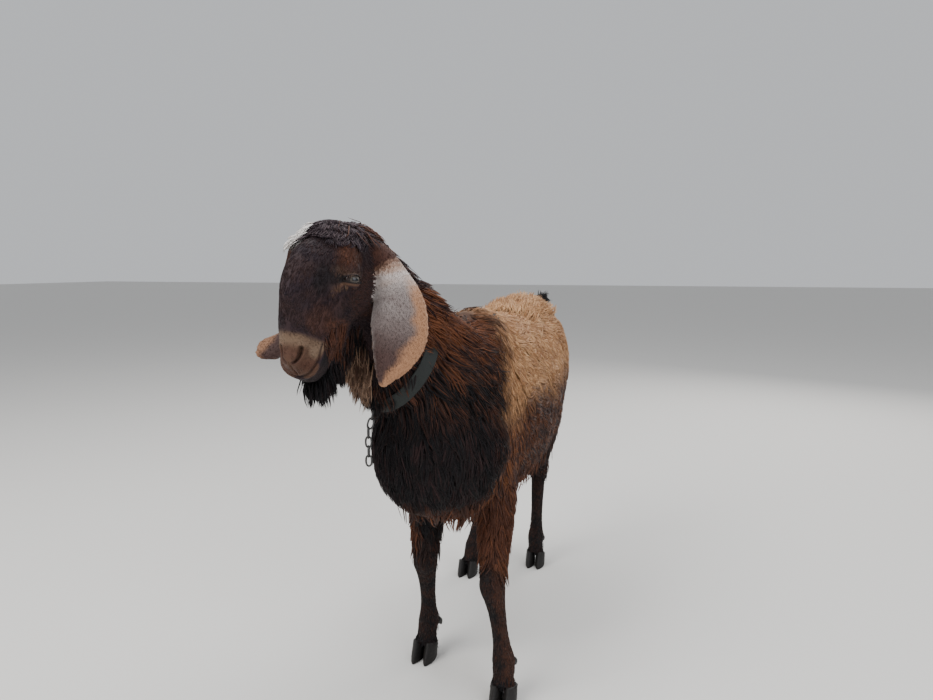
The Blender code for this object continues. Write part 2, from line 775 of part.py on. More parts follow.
def closed_tube(name, points, radius, sides=6):
    """A tube along a closed line, as a ring-shaped body."""
    count = len(points)
    middle = sum(points, Vector()) / count
    verts, faces = [], []
    for i, here in enumerate(points):
        along = (points[(i + 1) % count] - points[i - 1]).normalized()
        side = (here - middle).normalized()
        side = (side - along * side.dot(along)).normalized()
        verts += ring(here, side, along.cross(side), radius, radius, radius, 2.0, sides)
    for i in range(count):
        for k in range(sides):
            a, b = i * sides + k, i * sides + (k + 1) % sides
            c, d = (i + 1) % count * sides + (k + 1) % sides, (i + 1) % count * sides + k
            faces.append((a, b, c, d))
    return facing_out(mesh_object(name, verts, faces))


def group_of(objects, name):
    made = bpy.data.collections.new(name)
    bpy.context.scene.collection.children.link(made)
    for obj in objects:
        bpy.context.scene.collection.objects.unlink(obj)
        made.objects.link(obj)
    return made


def drop_group(group):
    for obj in list(group.objects):
        bpy.data.objects.remove(obj)
    bpy.data.collections.remove(group)


def fuse(obj, objects, operation="UNION"):
    """One Boolean with every object of a list at once."""
    if not objects:
        return obj
    group = group_of(objects, "pieces")
    boolean(obj, group, operation)
    drop_group(group)
    return largest_shell(obj)


def eye(name, side):
    made = mass(name, (0, 0, 0), (EYE_RADIUS,) * 3, fineness=10)
    made.data.transform(HEAD @ Matrix.Translation(EYE_PLACE * Vector((side, 1, 1))))
    return facing_out(made)


def face_details(head, tree):
    """Lids, eye sockets, lips, the line of the mouth and the nostrils."""
    added, taken = [], []
    for side in (1, -1):
        added.append(closed_tube("lids", lid_ring(side), LID_THICK))
        socket = eye("socket", side)
        socket.data.transform(Matrix.Translation(-(HEAD @ (EYE_PLACE * Vector((side, 1, 1))))))
        socket.data.transform(Matrix.Scale((EYE_RADIUS + CUT_GAP) / EYE_RADIUS, 4))
        socket.data.transform(Matrix.Translation(HEAD @ (EYE_PLACE * Vector((side, 1, 1)))))
        taken.append(socket)
        along, up, out = eye_axes(side)
        place = EYE_PLACE * Vector((side, 1, 1)) + out * OPENING_DEPTH
        radii = (LID_HALF_LENGTH * OPENING_SHARE, LID_HALF_HEIGHT * OPENING_SHARE, OPENING_DEPTH)
        opening = mass("opening", (0, 0, 0), radii, fineness=15)
        turn = Matrix((along, up, out)).transposed().to_4x4()
        opening.data.transform(HEAD @ Matrix.Translation(place) @ turn)
        taken.append(facing_out(opening))
        nostril = mass("nostril", (0, 0, 0), (0.0042, 0.0100, 0.0090), (0, side * 30, side * -28), 12)
        nostril.data.transform(HEAD @ Matrix.Translation(NOSTRIL * Vector((side, 1, 1))))
        taken.append(facing_out(nostril))
    line = [Vector(p) * Vector((-1, 1, 1)) for p in MOUTH[:0:-1]] + [Vector(p) for p in MOUTH]
    line = [Vector(p) for p in smooth_row(line, 21)]
    on_skin = [tree.find_nearest(HEAD @ p)[0] for p in line]
    lower = [tree.find_nearest(HEAD @ (p + Vector((0, -0.003, -0.0075))))[0] for p in line[2:-2]]
    thin = [0.0012 + 0.0008 * math.sin(math.pi * i / 20) for i in range(21)]
    taken.append(tube("mouth_line", on_skin, thin, 6, HEAD.to_3x3() @ Vector((0, 0, 1)), 1.6))
    full = [0.0040 + 0.0020 * math.sin(math.pi * i / 16) for i in range(17)]
    added.append(tube("lower_lip", lower, full, 8, HEAD.to_3x3() @ Vector((0, 0, 1)), 1.0))
    fuse(head, added)
    return fuse(head, taken, "DIFFERENCE")


# A claw from its sole up: height, shift forward, half length and half width
CLAW = (
    (0.000, 0.004, 0.0330, 0.0125),
    (0.004, 0.004, 0.0345, 0.0132),
    (0.016, 0.001, 0.0325, 0.0135),
    (0.030, -0.004, 0.0290, 0.0132),
    (0.058, -0.012, 0.0240, 0.0125),
)
CLAW_APART = 0.0148
# How flat a claw's inner wall is
CLAW_INNER = 0.96


def claw(name, leg, side):
    """One half of a cloven hoof, with a flat sole on the floor."""
    x, y, _ = LEGS[leg][3]
    rings = []
    for z, ahead, long_half, wide_half in CLAW:
        points = []
        for i in range(10):
            angle = math.tau * i / 10
            c, s = math.cos(angle), math.sin(angle)
            # The toe narrows to a point and the inner wall is flat
            taper = 1 - 0.45 * max(-s, 0) ** 2
            wide = wide_half * c * taper
            wide = wide if c * side > 0 else wide * CLAW_INNER
            points.append(Vector((x + side * CLAW_APART + wide, y - ahead + s * long_half, z)))
        rings.append(points)
    made = loft(name, rings)
    keep_in(made, *BELOW, coronet(leg))
    return made


def dewclaw(name, leg, side):
    """A small horny point at the back of the fetlock."""
    joints = LEGS[leg]
    root = Vector(joints[2]) + Vector((side * 0.013, 0.018, -0.006))
    tip = root + Vector((side * 0.004, 0.020, -0.020))
    middle = root.lerp(tip, 0.55) + Vector((0, 0.003, 0.001))
    return tube(name, [root, middle, tip], [0.0090, 0.0075, 0.0030], 6, Vector((1, 0, 0)))


# The collar's plane, and how far it stands off the neck
COLLAR_CENTRE = Vector((-0.0815, -0.4224, 0.7343))
COLLAR_FACING = Vector((-0.41, -0.80, 0.44)).normalized()
COLLAR_OFF = 0.0080
STRAP_WIDTH = 0.032
STRAP_THICK = 0.0035
LINK_LENGTH = 0.025
LINK_WIDTH = 0.015
LINK_WIRE = 0.0021
LINK_STEP = 0.72
CHAIN_LINKS = 6
CHAIN_LEAN = Vector((-0.30, -0.60, -1.0)).normalized()
CHAIN_DROP = Vector((-0.004, -0.010, -0.016))
CHAIN_TWIST = Vector((0.3, -1.0, 0.1))
CHAIN_TURN = 2


def collar_line(tree, off, count=34):
    """Points around the neck in the collar's plane, off its surface."""
    side = Vector((0, 0, 1)).cross(COLLAR_FACING).normalized()
    up = COLLAR_FACING.cross(side)
    found = []
    for i in range(count):
        angle = math.tau * i / count
        ray = side * math.cos(angle) + up * math.sin(angle)
        found.append((ray, tree.ray_cast(COLLAR_CENTRE, ray)[3] or 0.08))
    reach = [d for _, d in found]
    eased = [max(reach[i], (reach[i - 1] + reach[(i + 1) % count]) / 2) for i in range(count)]
    return [COLLAR_CENTRE + ray * (d + off) for (ray, _), d in zip(found, eased)]


def strap(name, tree):
    """The collar as a flat band."""
    line = collar_line(tree, COLLAR_OFF)
    count = len(line)
    verts, faces = [], []
    for i, here in enumerate(line):
        along = (line[(i + 1) % count] - line[i - 1]).normalized()
        _, normal, _, _ = tree.find_nearest(here)
        wide = along.cross(normal).normalized()
        normal = wide.cross(along).normalized()
        for a, b in ((-1, -1), (1, -1), (1, 1), (-1, 1)):
            verts.append(here + wide * (a * STRAP_WIDTH / 2) + normal * (b * STRAP_THICK / 2))
    for i in range(count):
        for k in range(4):
            j = (i + 1) % count
            faces.append((i * 4 + k, i * 4 + (k + 1) % 4, j * 4 + (k + 1) % 4, j * 4 + k))
    return facing_out(mesh_object(name, verts, faces))


def chain_start(tree):
    """The middle of the first link, at the lowest place of the strap."""
    return min(collar_line(tree, COLLAR_OFF), key=lambda place: place.z) + CHAIN_DROP


def link(place, along, flat):
    """One oval link of the chain."""
    along = along.normalized()
    flat = (flat - along * flat.dot(along)).normalized()
    points = []
    for i in range(8):
        angle = math.tau * i / 8
        half_long, half_wide = LINK_LENGTH / 2 - LINK_WIRE, LINK_WIDTH / 2 - LINK_WIRE
        points.append(place + along * (math.cos(angle) * half_long) + flat * (math.sin(angle) * half_wide))
    return closed_tube("link", points, LINK_WIRE, 3)


def chain(name, tree):
    """A short chain: out over the coat from the strap, then hanging free. Its links touch and are fused."""
    made = []
    here = chain_start(tree)
    step = LINK_LENGTH * LINK_STEP
    for i in range(CHAIN_LINKS):
        heading = CHAIN_LEAN if i < CHAIN_TURN else GRAVITY
        across = heading.cross(CHAIN_TWIST).normalized()
        flat = across if i % 2 else heading.cross(across)
        made.append(link(here, heading, flat))
        here = here + heading * step
    whole = made.pop(0)
    fuse(whole, made)
    whole.name = name
    return whole


def scrotum(name):
    """Hangs between the thighs."""
    made = [
        mass("bag", (-0.012 + side * 0.016, 0.262, 0.430), (0.026, 0.034, 0.048), (0, side * 4, 0), 9)
        for side in (1, -1)
    ]
    made.append(mass("cord", (-0.012, 0.250, 0.485), (0.028, 0.032, 0.055), fineness=9))
    whole = made.pop()
    fuse(whole, made)
    whole.name = name
    return whole


# Locks of hair: how far along each station stands, and its share of the full width and thickness
LOCK_STATIONS = ((0.0, 0.70, 0.9), (0.30, 1.00, 1.0), (0.62, 0.80, 0.8))
# Clumps: wider locks that part into a few tips after their last station
CLUMP_STATIONS = ((0.0, 0.80, 0.8), (0.28, 1.00, 1.0), (0.52, 1.04, 0.8))
CLUMP_TIPS = 3
TIP_VARY = 0.16
TIP_FAN = 0.55
# A lock this near the collar's middle keeps this far from its plane
STRAP_REACH = 0.20
STRAP_CLEAR = 0.022
LOCK_SINK = 0.010
LOCK_SPREAD = 0.20
LOCK_BEND = 0.30
LOCK_VARY = 0.18
LOCK_HANG = 0.35

def lie_at(place, normal):
    """The way the hair lies at a spot, along the surface: down the neck and limbs, back and down the trunk."""
    x, y, z = place
    out = 1 if x > 0 else -1
    neck = between(-y, 0.28, 0.36) * between(z, 0.60, 0.70)
    trunk = between(y, -0.28, -0.12) * between(z, 0.38, 0.50)
    chest = Vector((0.10 * out, 0.22, -1.0))
    down_neck = Vector((0.45 * out, 0.62, -0.80))
    along_trunk = Vector((0.20 * out, 0.80, -0.55 if z < 0.72 else -0.15))
    rump = Vector((0.10 * out, 0.45, -0.90))
    lie = chest.lerp(down_neck, neck).lerp(along_trunk, trunk).lerp(rump, between(y, 0.22, 0.36))
    lie = lie - normal * lie.dot(normal)
    return lie.normalized() if lie.length > 0.05 else Vector((0, 1, 0))


def lock_spine(tree, root, normal, lie, length, lift, cling, stations, dice):
    """The bent middle line of a lock. cling 1 keeps it on the surface, 0 lets it hang."""
    heading = Matrix.Rotation(dice.uniform(-LOCK_SPREAD, LOCK_SPREAD), 3, normal) @ lie
    bend = dice.uniform(-LOCK_BEND, LOCK_BEND)
    here, up = root, normal
    spine = [(root - normal * LOCK_SINK, normal)]
    done = 0.0
    for share in [station[0] for station in stations[1:]] + [1.0]:
        here = here + heading * (length * (share - done))
        done = share
        near, surface_up, _, _ = tree.find_nearest(here)
        held = near + surface_up * (lift * share)
        loose = here + up * (lift * 0.5)
        spine.append((loose.lerp(held, cling), surface_up.lerp(up, 1 - cling).normalized()))
        heading = (heading + GRAVITY * LOCK_HANG * (1 - cling)).normalized()
        heading = Matrix.Rotation(bend * share, 3, normal) @ heading
        if cling > 0.5:
            heading = (heading - surface_up * heading.dot(surface_up)).normalized()
            here = near
    return spine


def station_frame(spine, i):
    """The place, side and rise of a lock at one of its stations."""
    place, up = spine[i]
    run = (spine[i + 1][0] - spine[max(i - 1, 0)][0]).normalized()
    side = run.cross(up).normalized()
    return place, side, side.cross(run).normalized()


def skinned(rows, tips):
    """Faces between rows of the same number of points, with a cap on the first row."""
    count = len(rows[0])
    faces = [tuple(range(count))]
    for i in range(0, (len(rows) - 1) * count, count):
        for k in range(count):
            a, b = i + k, i + (k + 1) % count
            faces += [(a, b, b + count), (a, b + count, a + count)]
    verts = [p for row in rows for p in row] + tips
    return verts, faces


def lock(spine, width, thick, dice):
    """A flat tapered lock with a ridge along its top, as a closed mesh around its middle line."""
    rows = []
    for i, (_, wide, deep) in enumerate(LOCK_STATIONS):
        place, side, rise = station_frame(spine, i)
        w, t = width * wide / 2, thick * deep / 2
        rows.append([place - side * w - rise * t / 2, place + side * w - rise * t / 2, place + rise * t])
    verts, faces = skinned(rows, [spine[-1][0]])
    tip = len(verts) - 1
    faces += [(tip - 3 + k, tip - 3 + (k + 1) % 3, tip) for k in range(3)]
    return facing_out(mesh_object("lock", verts, faces))


def clump(spine, width, thick, dice):
    """A wide lock with a ridge for each strand, parted into tapered tips."""
    strands = CLUMP_TIPS
    rows = []
    for i, (_, wide, deep) in enumerate(CLUMP_STATIONS):
        place, side, rise = station_frame(spine, i)
        w, t = width * wide / 2, thick * deep / 2
        top = [place - side * w - rise * t / 2]
        for k in range(2 * strands - 1):
            across = (k + 1) / strands - 1
            height = t if k % 2 == 0 else t * 0.25
            top.append(place + side * (w * across) + rise * height)
        top.append(place + side * w - rise * t / 2)
        under = [place + side * (w * (2 * k / strands - 1)) - rise * t for k in range(strands - 1, 0, -1)]
        rows.append(top + under)
    place, side, _ = station_frame(spine, len(CLUMP_STATIONS) - 1)
    run = spine[-1][0] - spine[-2][0]
    tips = []
    for k in range(strands):
        across = (2 * k + 1) / strands - 1
        reach = run * dice.uniform(1 - TIP_VARY, 1 + TIP_VARY)
        tips.append(place + reach + side * (width / 2 * across * TIP_FAN))
    verts, faces = skinned(rows, tips)
    count = len(rows[0])
    first = (len(rows) - 1) * count
    for k in range(strands):
        # A strand's outline: its left valley, ridge and right valley on top, and the valleys underneath
        line = [2 * k, 2 * k + 1, 2 * k + 2]
        line += [count - (k + 1)] if k < strands - 1 else []
        line += [count - k] if k > 0 else []
        tip = len(verts) - strands + k
        faces += [(first + a, first + b, tip) for a, b in zip(line, line[1:] + line[:1])]
    return facing_out(mesh_object("clump", verts, faces))


def roots_on(obj, count, keep, dice):
    """Evenly spread spots on an object's surface where keep says yes, each with its normal."""
    mesh = obj.data
    mesh.calc_loop_triangles()
    corners = [[mesh.vertices[i].co.copy() for i in t.vertices] for t in mesh.loop_triangles]
    areas = [t.area for t in mesh.loop_triangles]
    normals = [t.normal.copy() for t in mesh.loop_triangles]
    spots = []
    for i in dice.choices(range(len(areas)), weights=areas, k=6000):
        u, v = dice.random(), dice.random()
        u, v = (1 - u, 1 - v) if u + v > 1 else (u, v)
        a, b, c = corners[i]
        place = a + (b - a) * u + (c - a) * v
        if keep(place, normals[i]):
            spots.append((place, normals[i]))
    if not spots:
        return []
    chosen = [spots[0]]
    reach = [(place - spots[0][0]).length for place, _ in spots]
    while len(chosen) < min(count, len(spots)):
        best = max(range(len(spots)), key=lambda i: reach[i])
        chosen.append(spots[best])
        reach = [min(reach[i], (spots[i][0] - spots[best][0]).length) for i in range(len(spots))]
    return chosen


def crosses_strap(spine):
    """Whether a lock comes too near the collar."""
    away = [(place - COLLAR_CENTRE).dot(COLLAR_FACING) for place, _ in spine]
    near = any((place - COLLAR_CENTRE).length < STRAP_REACH for place, _ in spine)
    return near and min(away) < STRAP_CLEAR and max(away) > -STRAP_CLEAR


def coat(obj, tree, count, keep, size, lift, cling, seed, lie=lie_at, shape=clump):
    """Locks or clumps of one length, width and thickness, varied a little and set evenly on a surface."""
    dice = random.Random(seed)
    stations = CLUMP_STATIONS if shape is clump else LOCK_STATIONS
    made = []
    for place, normal in roots_on(obj, count, keep, dice):
        length, width, thick = (v * dice.uniform(1 - LOCK_VARY, 1 + LOCK_VARY) for v in size)
        spine = lock_spine(tree, place, normal, lie(place, normal), length, lift, cling, stations, dice)
        if not crosses_strap(spine):
            made.append(shape(spine, width, thick, dice))
    return made


def in_head(place):
    return HEAD.inverted() @ place


def beard_lie(place, normal):
    """Down from the chin, a little back."""
    return (GRAVITY + Vector((0.05, 0.10, 0))).normalized()


def jaw_lie(place, normal):
    """Down and back along the jaw."""
    lie = HEAD.to_3x3() @ Vector((0, -0.55, -0.60)) + GRAVITY * 0.6
    lie = lie - normal * lie.dot(normal) * 0.7
    return lie.normalized()


def crown_lie(place, normal):
    """From the poll over the forehead."""
    lie = HEAD.to_3x3() @ Vector((in_head(place).x * 6, 1.0, 0.0))
    return (lie - normal * lie.dot(normal)).normalized()


def tail_lie(place, normal):
    """Up and out along the dock."""
    lie = Vector((0.1, 0.80, 0.50)) + normal * 0.35
    return lie.normalized()


def head_locks(head, tree):
    """The beard, the fringe along the jaw and the short forelock."""

    def chin(place, normal):
        x, y, z = in_head(place)
        return 0.170 < y < 0.250 and z < -0.092 and abs(x) < 0.026

    def jaw(place, normal):
        x, y, z = in_head(place)
        return 0.060 < y < 0.185 and z < -0.085 and abs(x) > 0.010

    def crown(place, normal):
        x, y, z = in_head(place)
        return -0.02 < y < 0.040 and z > 0.012 and abs(x) < 0.045

    made = coat(head, tree, 11, chin, (0.062, 0.022, 0.010), 0.004, 0.0, 24, beard_lie, lock)
    made += coat(head, tree, 6, jaw, (0.050, 0.032, 0.010), 0.010, 0.30, 25, jaw_lie, lock)
    made += coat(head, tree, 4, crown, (0.046, 0.030, 0.008), 0.006, 1.0, 26, crown_lie, lock)
    return made


def neck_locks(neck, tree):
    def anywhere(place, normal):
        return in_head(place).y < -0.045 and (NECK_CUT.inverted() @ place).z > 0.030

    return coat(neck, tree, 15, anywhere, (0.110, 0.060, 0.015), 0.026, 0.85, 21)


def torso_locks(torso, tree):
    """The long hair of the breast and shoulders."""

    def front(place, normal):
        below_neck = (NECK_CUT.inverted() @ place).z < -0.020
        return place.y < -0.19 and place.z < 0.77 and normal.z > -0.45 and below_neck

    return coat(torso, tree, 23, front, (0.112, 0.060, 0.015), 0.030, 0.85, 31)


def tail_locks(tail, tree):
    def where(place, normal):
        return place.y > 0.43

    return coat(tail, tree, 6, where, (0.032, 0.020, 0.009), 0.004, 0.0, 51, tail_lie, lock)


def finish_of(name):
    """Colour, roughness and metallic of a part."""
    finishes = {
        "eye": (EYE_AMBER, 0.1, 0.0),
        "ear": (EAR_TAN, 0.75, 0.0),
        "torso": (TAN, 0.8, 0.0),
        "claw": (HOOF_GREY, 0.45, 0.0),
        "dewclaw": (HOOF_GREY, 0.45, 0.0),
        "foreleg": (NEAR_BLACK, 0.7, 0.0),
        "hindleg": (NEAR_BLACK, 0.7, 0.0),
        "tail": (NEAR_BLACK, 0.8, 0.0),
        "collar_strap": (STRAP_BLACK, 0.6, 0.0),
        "collar_chain": (STEEL, 0.35, 1.0),
    }
    for start, finish in finishes.items():
        if name.startswith(start):
            return finish
    return DARK_MAHOGANY, 0.8, 0.0


def main():
    clear_scene()
    body = whole_body()
    tree = surface_of(body)
    coarse = thinned(body, "coarse", COARSE_SHARE)
    fine = thinned(body, "fine", HEAD_SHARE)
    discard(body)
    band = strap("collar_strap", tree)
    parts = {"collar_strap": band}
    for leg in LEGS:
        low, high, turn = leg_space(leg)
        for names, space in ((UPPER, ABOVE), (LOWER, BELOW)):
            part = copy_of(coarse, names[leg])
            keep_in(part, low, high, turn)
            keep_in(part, *space, joint_cut(leg))
            if names is LOWER:
                keep_in(part, *ABOVE, coronet(leg))
            parts[names[leg]] = largest_shell(part)
        for side, word in ((1, "left"), (-1, "right")):
            name = f"claw_{leg}_{word}"
            parts[name] = claw(name, leg, side)
        lower = parts[LOWER[leg]]
        fuse(lower, [dewclaw("dewclaw", leg, side) for side in (1, -1)])
        clear_of(parts[UPPER[leg]], lower)
    clear_of(parts["thigh_right"], parts["thigh_left"])
    torso_part = copy_of(coarse, "torso")
    cut_out(torso_part, *ABOVE, NECK_CUT)
    cut_out(torso_part, *TAIL_SPACE, TAIL_CUT)
    for leg in LEGS:
        cut_out(torso_part, *leg_space(leg))
    torso_part = largest_shell(torso_part)
    fuse(torso_part, torso_locks(torso_part, tree))
    parts["torso"] = clear_of(torso_part, *(parts[UPPER[leg]] for leg in LEGS), band)
    neck_part = copy_of(coarse, "neck")
    keep_in(neck_part, *ABOVE, NECK_CUT)
    cut_out(neck_part, *HEAD_SPACE, HEAD_CUT)
    neck_part = largest_shell(neck_part)
    fuse(neck_part, neck_locks(neck_part, tree))
    parts["neck"] = clear_of(neck_part, parts["torso"], parts["forearm_left"], parts["forearm_right"], band)
    tail_part = copy_of(coarse, "tail")
    keep_in(tail_part, *TAIL_SPACE, TAIL_CUT)
    tail_part = largest_shell(tail_part)
    fuse(tail_part, tail_locks(tail_part, tree))
    parts["tail"] = clear_of(tail_part, parts["torso"])
    head_part = copy_of(fine, "head")
    keep_in(head_part, *HEAD_SPACE, HEAD_CUT)
    head_part = largest_shell(head_part)
    fuse(head_part, head_locks(head_part, tree))
    face_details(head_part, tree)
    parts["head"] = clear_of(head_part, parts["neck"], parts["torso"])
    discard(coarse, fine)
    for side, word in ((1, "left"), (-1, "right")):
        parts["eye_" + word] = eye("eye_" + word, side)
        parts["ear_" + word] = clear_of(ear("ear_" + word, side), parts["head"], parts["neck"])
    parts["collar_chain"] = clear_of(chain("collar_chain", tree), band)
    around = [parts[n] for n in ("torso", "thigh_left", "thigh_right")]
    parts["scrotum"] = clear_of(scrotum("scrotum"), *around)
    for name, part in parts.items():
        if name == "neck":
            neat(part)
        part.name = name
        part.data.name = name
        part.data.materials.clear()
        part.data.transform(Matrix.Translation(-BOX_MIDDLE))
        part.data.materials.append(material(name, *finish_of(name)))
    bpy.context.view_layer.update()


main()
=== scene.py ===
"""The look of a standing billy goat: one skin under a coat of hair tufts, with eyes, claws, collar and chain.

Shapes are made in the frame that the named sizes use and moved by BOX_MIDDLE at the end.
"""
import math

import bmesh
import bpy
import numpy as np
from mathutils import Matrix, Vector
from mathutils.bvhtree import BVHTree
from mathutils.kdtree import KDTree


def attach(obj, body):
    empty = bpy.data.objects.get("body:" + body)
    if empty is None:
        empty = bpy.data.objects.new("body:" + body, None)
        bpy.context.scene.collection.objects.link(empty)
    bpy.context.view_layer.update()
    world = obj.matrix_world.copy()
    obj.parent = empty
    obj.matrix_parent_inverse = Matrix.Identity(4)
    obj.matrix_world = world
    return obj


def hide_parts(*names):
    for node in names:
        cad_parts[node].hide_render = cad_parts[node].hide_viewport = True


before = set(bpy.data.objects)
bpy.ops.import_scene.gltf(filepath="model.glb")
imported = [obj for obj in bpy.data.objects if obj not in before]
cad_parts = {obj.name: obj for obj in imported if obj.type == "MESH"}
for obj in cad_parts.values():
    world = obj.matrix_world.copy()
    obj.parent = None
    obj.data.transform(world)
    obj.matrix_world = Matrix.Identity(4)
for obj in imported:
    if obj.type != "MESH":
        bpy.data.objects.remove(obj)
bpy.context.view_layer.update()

# Driving dimensions, in metres
WITHERS_HEIGHT = 0.82
BODY_LENGTH = 0.885
BREAST_Y = -0.440
BARREL_HALF_WIDTH = 0.150
HEAD_LENGTH = 0.263
EYE_RADIUS = 0.0150
BOX_MIDDLE = Vector((-0.0685, -0.1047, 0.0))
VOXEL = 0.005
SKIN_VOXEL = 0.0040
SKIN_SHARE = 0.38

# The head's place: its poll, and how far it turns to the goat's right, nods down and leans
POLL = Vector((-0.145, -0.538, 0.950))
HEAD_TURN = math.radians(7.5)
HEAD_NOD = math.radians(52)
HEAD_LEAN = math.radians(-3)

# Joint places for each leg: elbow or stifle, knee or hock, fetlock, and the middle of the hoof on the floor
LEGS = {
    "fore_left": ((0.074, -0.262, 0.420), (0.086, -0.338, 0.235), (0.112, -0.345, 0.082), (0.116, -0.362, 0.0)),
    "fore_right": ((-0.086, -0.256, 0.420), (-0.088, -0.262, 0.235), (-0.093, -0.232, 0.082), (-0.097, -0.250, 0.0)),
    "hind_left": ((0.082, 0.212, 0.470), (0.040, 0.378, 0.272), (0.042, 0.336, 0.082), (0.045, 0.318, 0.0)),
    "hind_right": ((-0.108, 0.150, 0.470), (-0.092, 0.276, 0.272), (-0.120, 0.222, 0.082), (-0.130, 0.200, 0.0)),
}
CORONET_Z = 0.038
CORONET_SLOPE = 0.33


def link_object(name, mesh):
    made = bpy.data.objects.new(name, mesh)
    bpy.context.scene.collection.objects.link(made)
    return made


def mesh_object(name, points, faces):
    mesh = bpy.data.meshes.new(name)
    mesh.from_pydata([tuple(p) for p in points], [], faces)
    mesh.validate()
    return link_object(name, mesh)


def facing_out(obj):
    shape = bmesh.new()
    shape.from_mesh(obj.data)
    bmesh.ops.recalc_face_normals(shape, faces=shape.faces[:])
    shape.to_mesh(obj.data)
    shape.free()
    return obj


def apply_modifiers(obj):
    graph = bpy.context.evaluated_depsgraph_get()
    made = bpy.data.meshes.new_from_object(obj.evaluated_get(graph))
    obj.modifiers.clear()
    obj.data = made
    return obj


def join(name, objects):
    """One object that holds every mesh of the list, still as separate shells."""
    shape = bmesh.new()
    for obj in objects:
        shape.from_mesh(obj.data)
    mesh = bpy.data.meshes.new(name)
    shape.to_mesh(mesh)
    shape.free()
    for obj in objects:
        bpy.data.objects.remove(obj)
    return link_object(name, mesh)


def smooth_row(rows, count):
    """Rows of numbers read again at count even steps along a smooth curve through them."""
    rows = np.array(rows, float)
    padded = np.vstack([2 * rows[0] - rows[1], rows, 2 * rows[-1] - rows[-2]])
    made = []
    for step in np.linspace(0, len(rows) - 1, count):
        i = min(int(step), len(rows) - 2)
        t = step - i
        a, b, c, d = padded[i : i + 4]
        made.append(0.5 * (2 * b + (c - a) * t + (2 * a - 5 * b + 4 * c - d) * t**2 + (3 * b - a - 3 * c + d) * t**3))
    return np.array(made)


def ring(centre, side, up, half_width, above, below, power=2.0, sides=40):
    """A rounded ring across a limb, half_width to each side of its centre.

    Over 2, power squares it.
    """
    points = []
    for i in range(sides):
        angle = math.tau * i / sides
        c, s = math.cos(angle), math.sin(angle)
        across = math.copysign(abs(c) ** (2 / power), c) * half_width
        along = math.copysign(abs(s) ** (2 / power), s) * (above if s > 0 else below)
        points.append(centre + side * across + up * along)
    return points


def loft(name, rings):
    """A closed body through rings of the same number of points."""
    sides = len(rings[0])
    points = [p for r in rings for p in r]
    faces = [
        (k * sides + i, k * sides + (i + 1) % sides, (k + 1) * sides + (i + 1) % sides, (k + 1) * sides + i)
        for k in range(len(rings) - 1)
        for i in range(sides)
    ]
    faces.append(tuple(range(sides))[::-1])
    faces.append(tuple(range((len(rings) - 1) * sides, len(rings) * sides)))
    return facing_out(mesh_object(name, points, faces))


def mass(name, centre, radii, tilt=(0.0, 0.0, 0.0), fineness=24):
    """A muscle as an ellipsoid, tilted by degrees about X, Y and Z."""
    shape = bmesh.new()
    bmesh.ops.create_uvsphere(shape, u_segments=fineness, v_segments=fineness * 2 // 3, radius=1.0)
    turn = Matrix.Rotation(math.radians(tilt[2]), 4, "Z") @ Matrix.Rotation(math.radians(tilt[1]), 4, "Y")
    turn = turn @ Matrix.Rotation(math.radians(tilt[0]), 4, "X")
    shape.transform(Matrix.Translation(centre) @ turn @ Matrix.Diagonal((*radii, 1.0)))
    mesh = bpy.data.meshes.new(name)
    shape.to_mesh(mesh)
    shape.free()
    return link_object(name, mesh)


def head_matrix():
    """Takes head coordinates to the goat's.

    X points to its left, Y along the face from the poll, and Z out of the forehead.
    """
    face = Vector(
        (-math.sin(HEAD_TURN) * math.cos(HEAD_NOD), -math.cos(HEAD_TURN) * math.cos(HEAD_NOD), -math.sin(HEAD_NOD))
    )
    left = Vector((math.cos(HEAD_TURN), -math.sin(HEAD_TURN), 0.0))
    left = Matrix.Rotation(HEAD_LEAN, 3, face) @ left
    crown = face.cross(left)
    made = Matrix((left, face, crown)).transposed().to_4x4()
    made.translation = POLL
    return made


HEAD = head_matrix()
HEAD_TURNED = np.array(HEAD.to_3x3())

# Torso stations: along the body, then top, bottom and half width, as shares of the driving dimensions
TORSO = (
    (0.000, 0.70, 0.62, 0.26),
    (0.030, 0.79, 0.53, 0.52),
    (0.095, 0.89, 0.465, 0.66),
    (0.210, 0.985, 0.440, 0.74),
    (0.340, 0.985, 0.425, 0.86),
    (0.480, 0.955, 0.430, 0.97),
    (0.620, 0.945, 0.450, 1.00),
    (0.740, 0.960, 0.510, 0.93),
    (0.850, 0.970, 0.600, 0.80),
    (0.940, 0.935, 0.680, 0.62),
    (1.000, 0.860, 0.760, 0.34),
)
# Neck stations: centre, then half width, half depth towards the nape and towards the throat
NECK = (
    ((-0.004, -0.262, 0.600), 0.104, 0.200, 0.150),
    ((-0.020, -0.325, 0.650), 0.110, 0.140, 0.145),
    ((-0.058, -0.380, 0.718), 0.098, 0.102, 0.128),
    ((-0.096, -0.428, 0.785), 0.086, 0.094, 0.106),
    ((-0.122, -0.462, 0.845), 0.077, 0.088, 0.086),
    ((-0.138, -0.485, 0.893), 0.060, 0.066, 0.058),
)
# Head stations: along the face, then top, bottom and half width in metres, and how square the ring is
SKULL = (
    (-0.20, -0.030, -0.088, 0.044, 2.0),
    (-0.08, 0.004, -0.116, 0.060, 2.1),
    (0.04, 0.024, -0.134, 0.068, 2.2),
    (0.14, 0.037, -0.142, 0.069, 2.2),
    (0.26, 0.055, -0.140, 0.065, 2.1),
    (0.39, 0.064, -0.130, 0.059, 2.0),
    (0.53, 0.063, -0.118, 0.052, 2.0),
    (0.67, 0.047, -0.109, 0.045, 2.0),
    (0.79, 0.025, -0.103, 0.040, 2.1),
    (0.89, -0.001, -0.101, 0.036, 2.2),
    (0.955, -0.022, -0.097, 0.029, 2.1),
    (1.00, -0.042, -0.084, 0.017, 2.0),
)
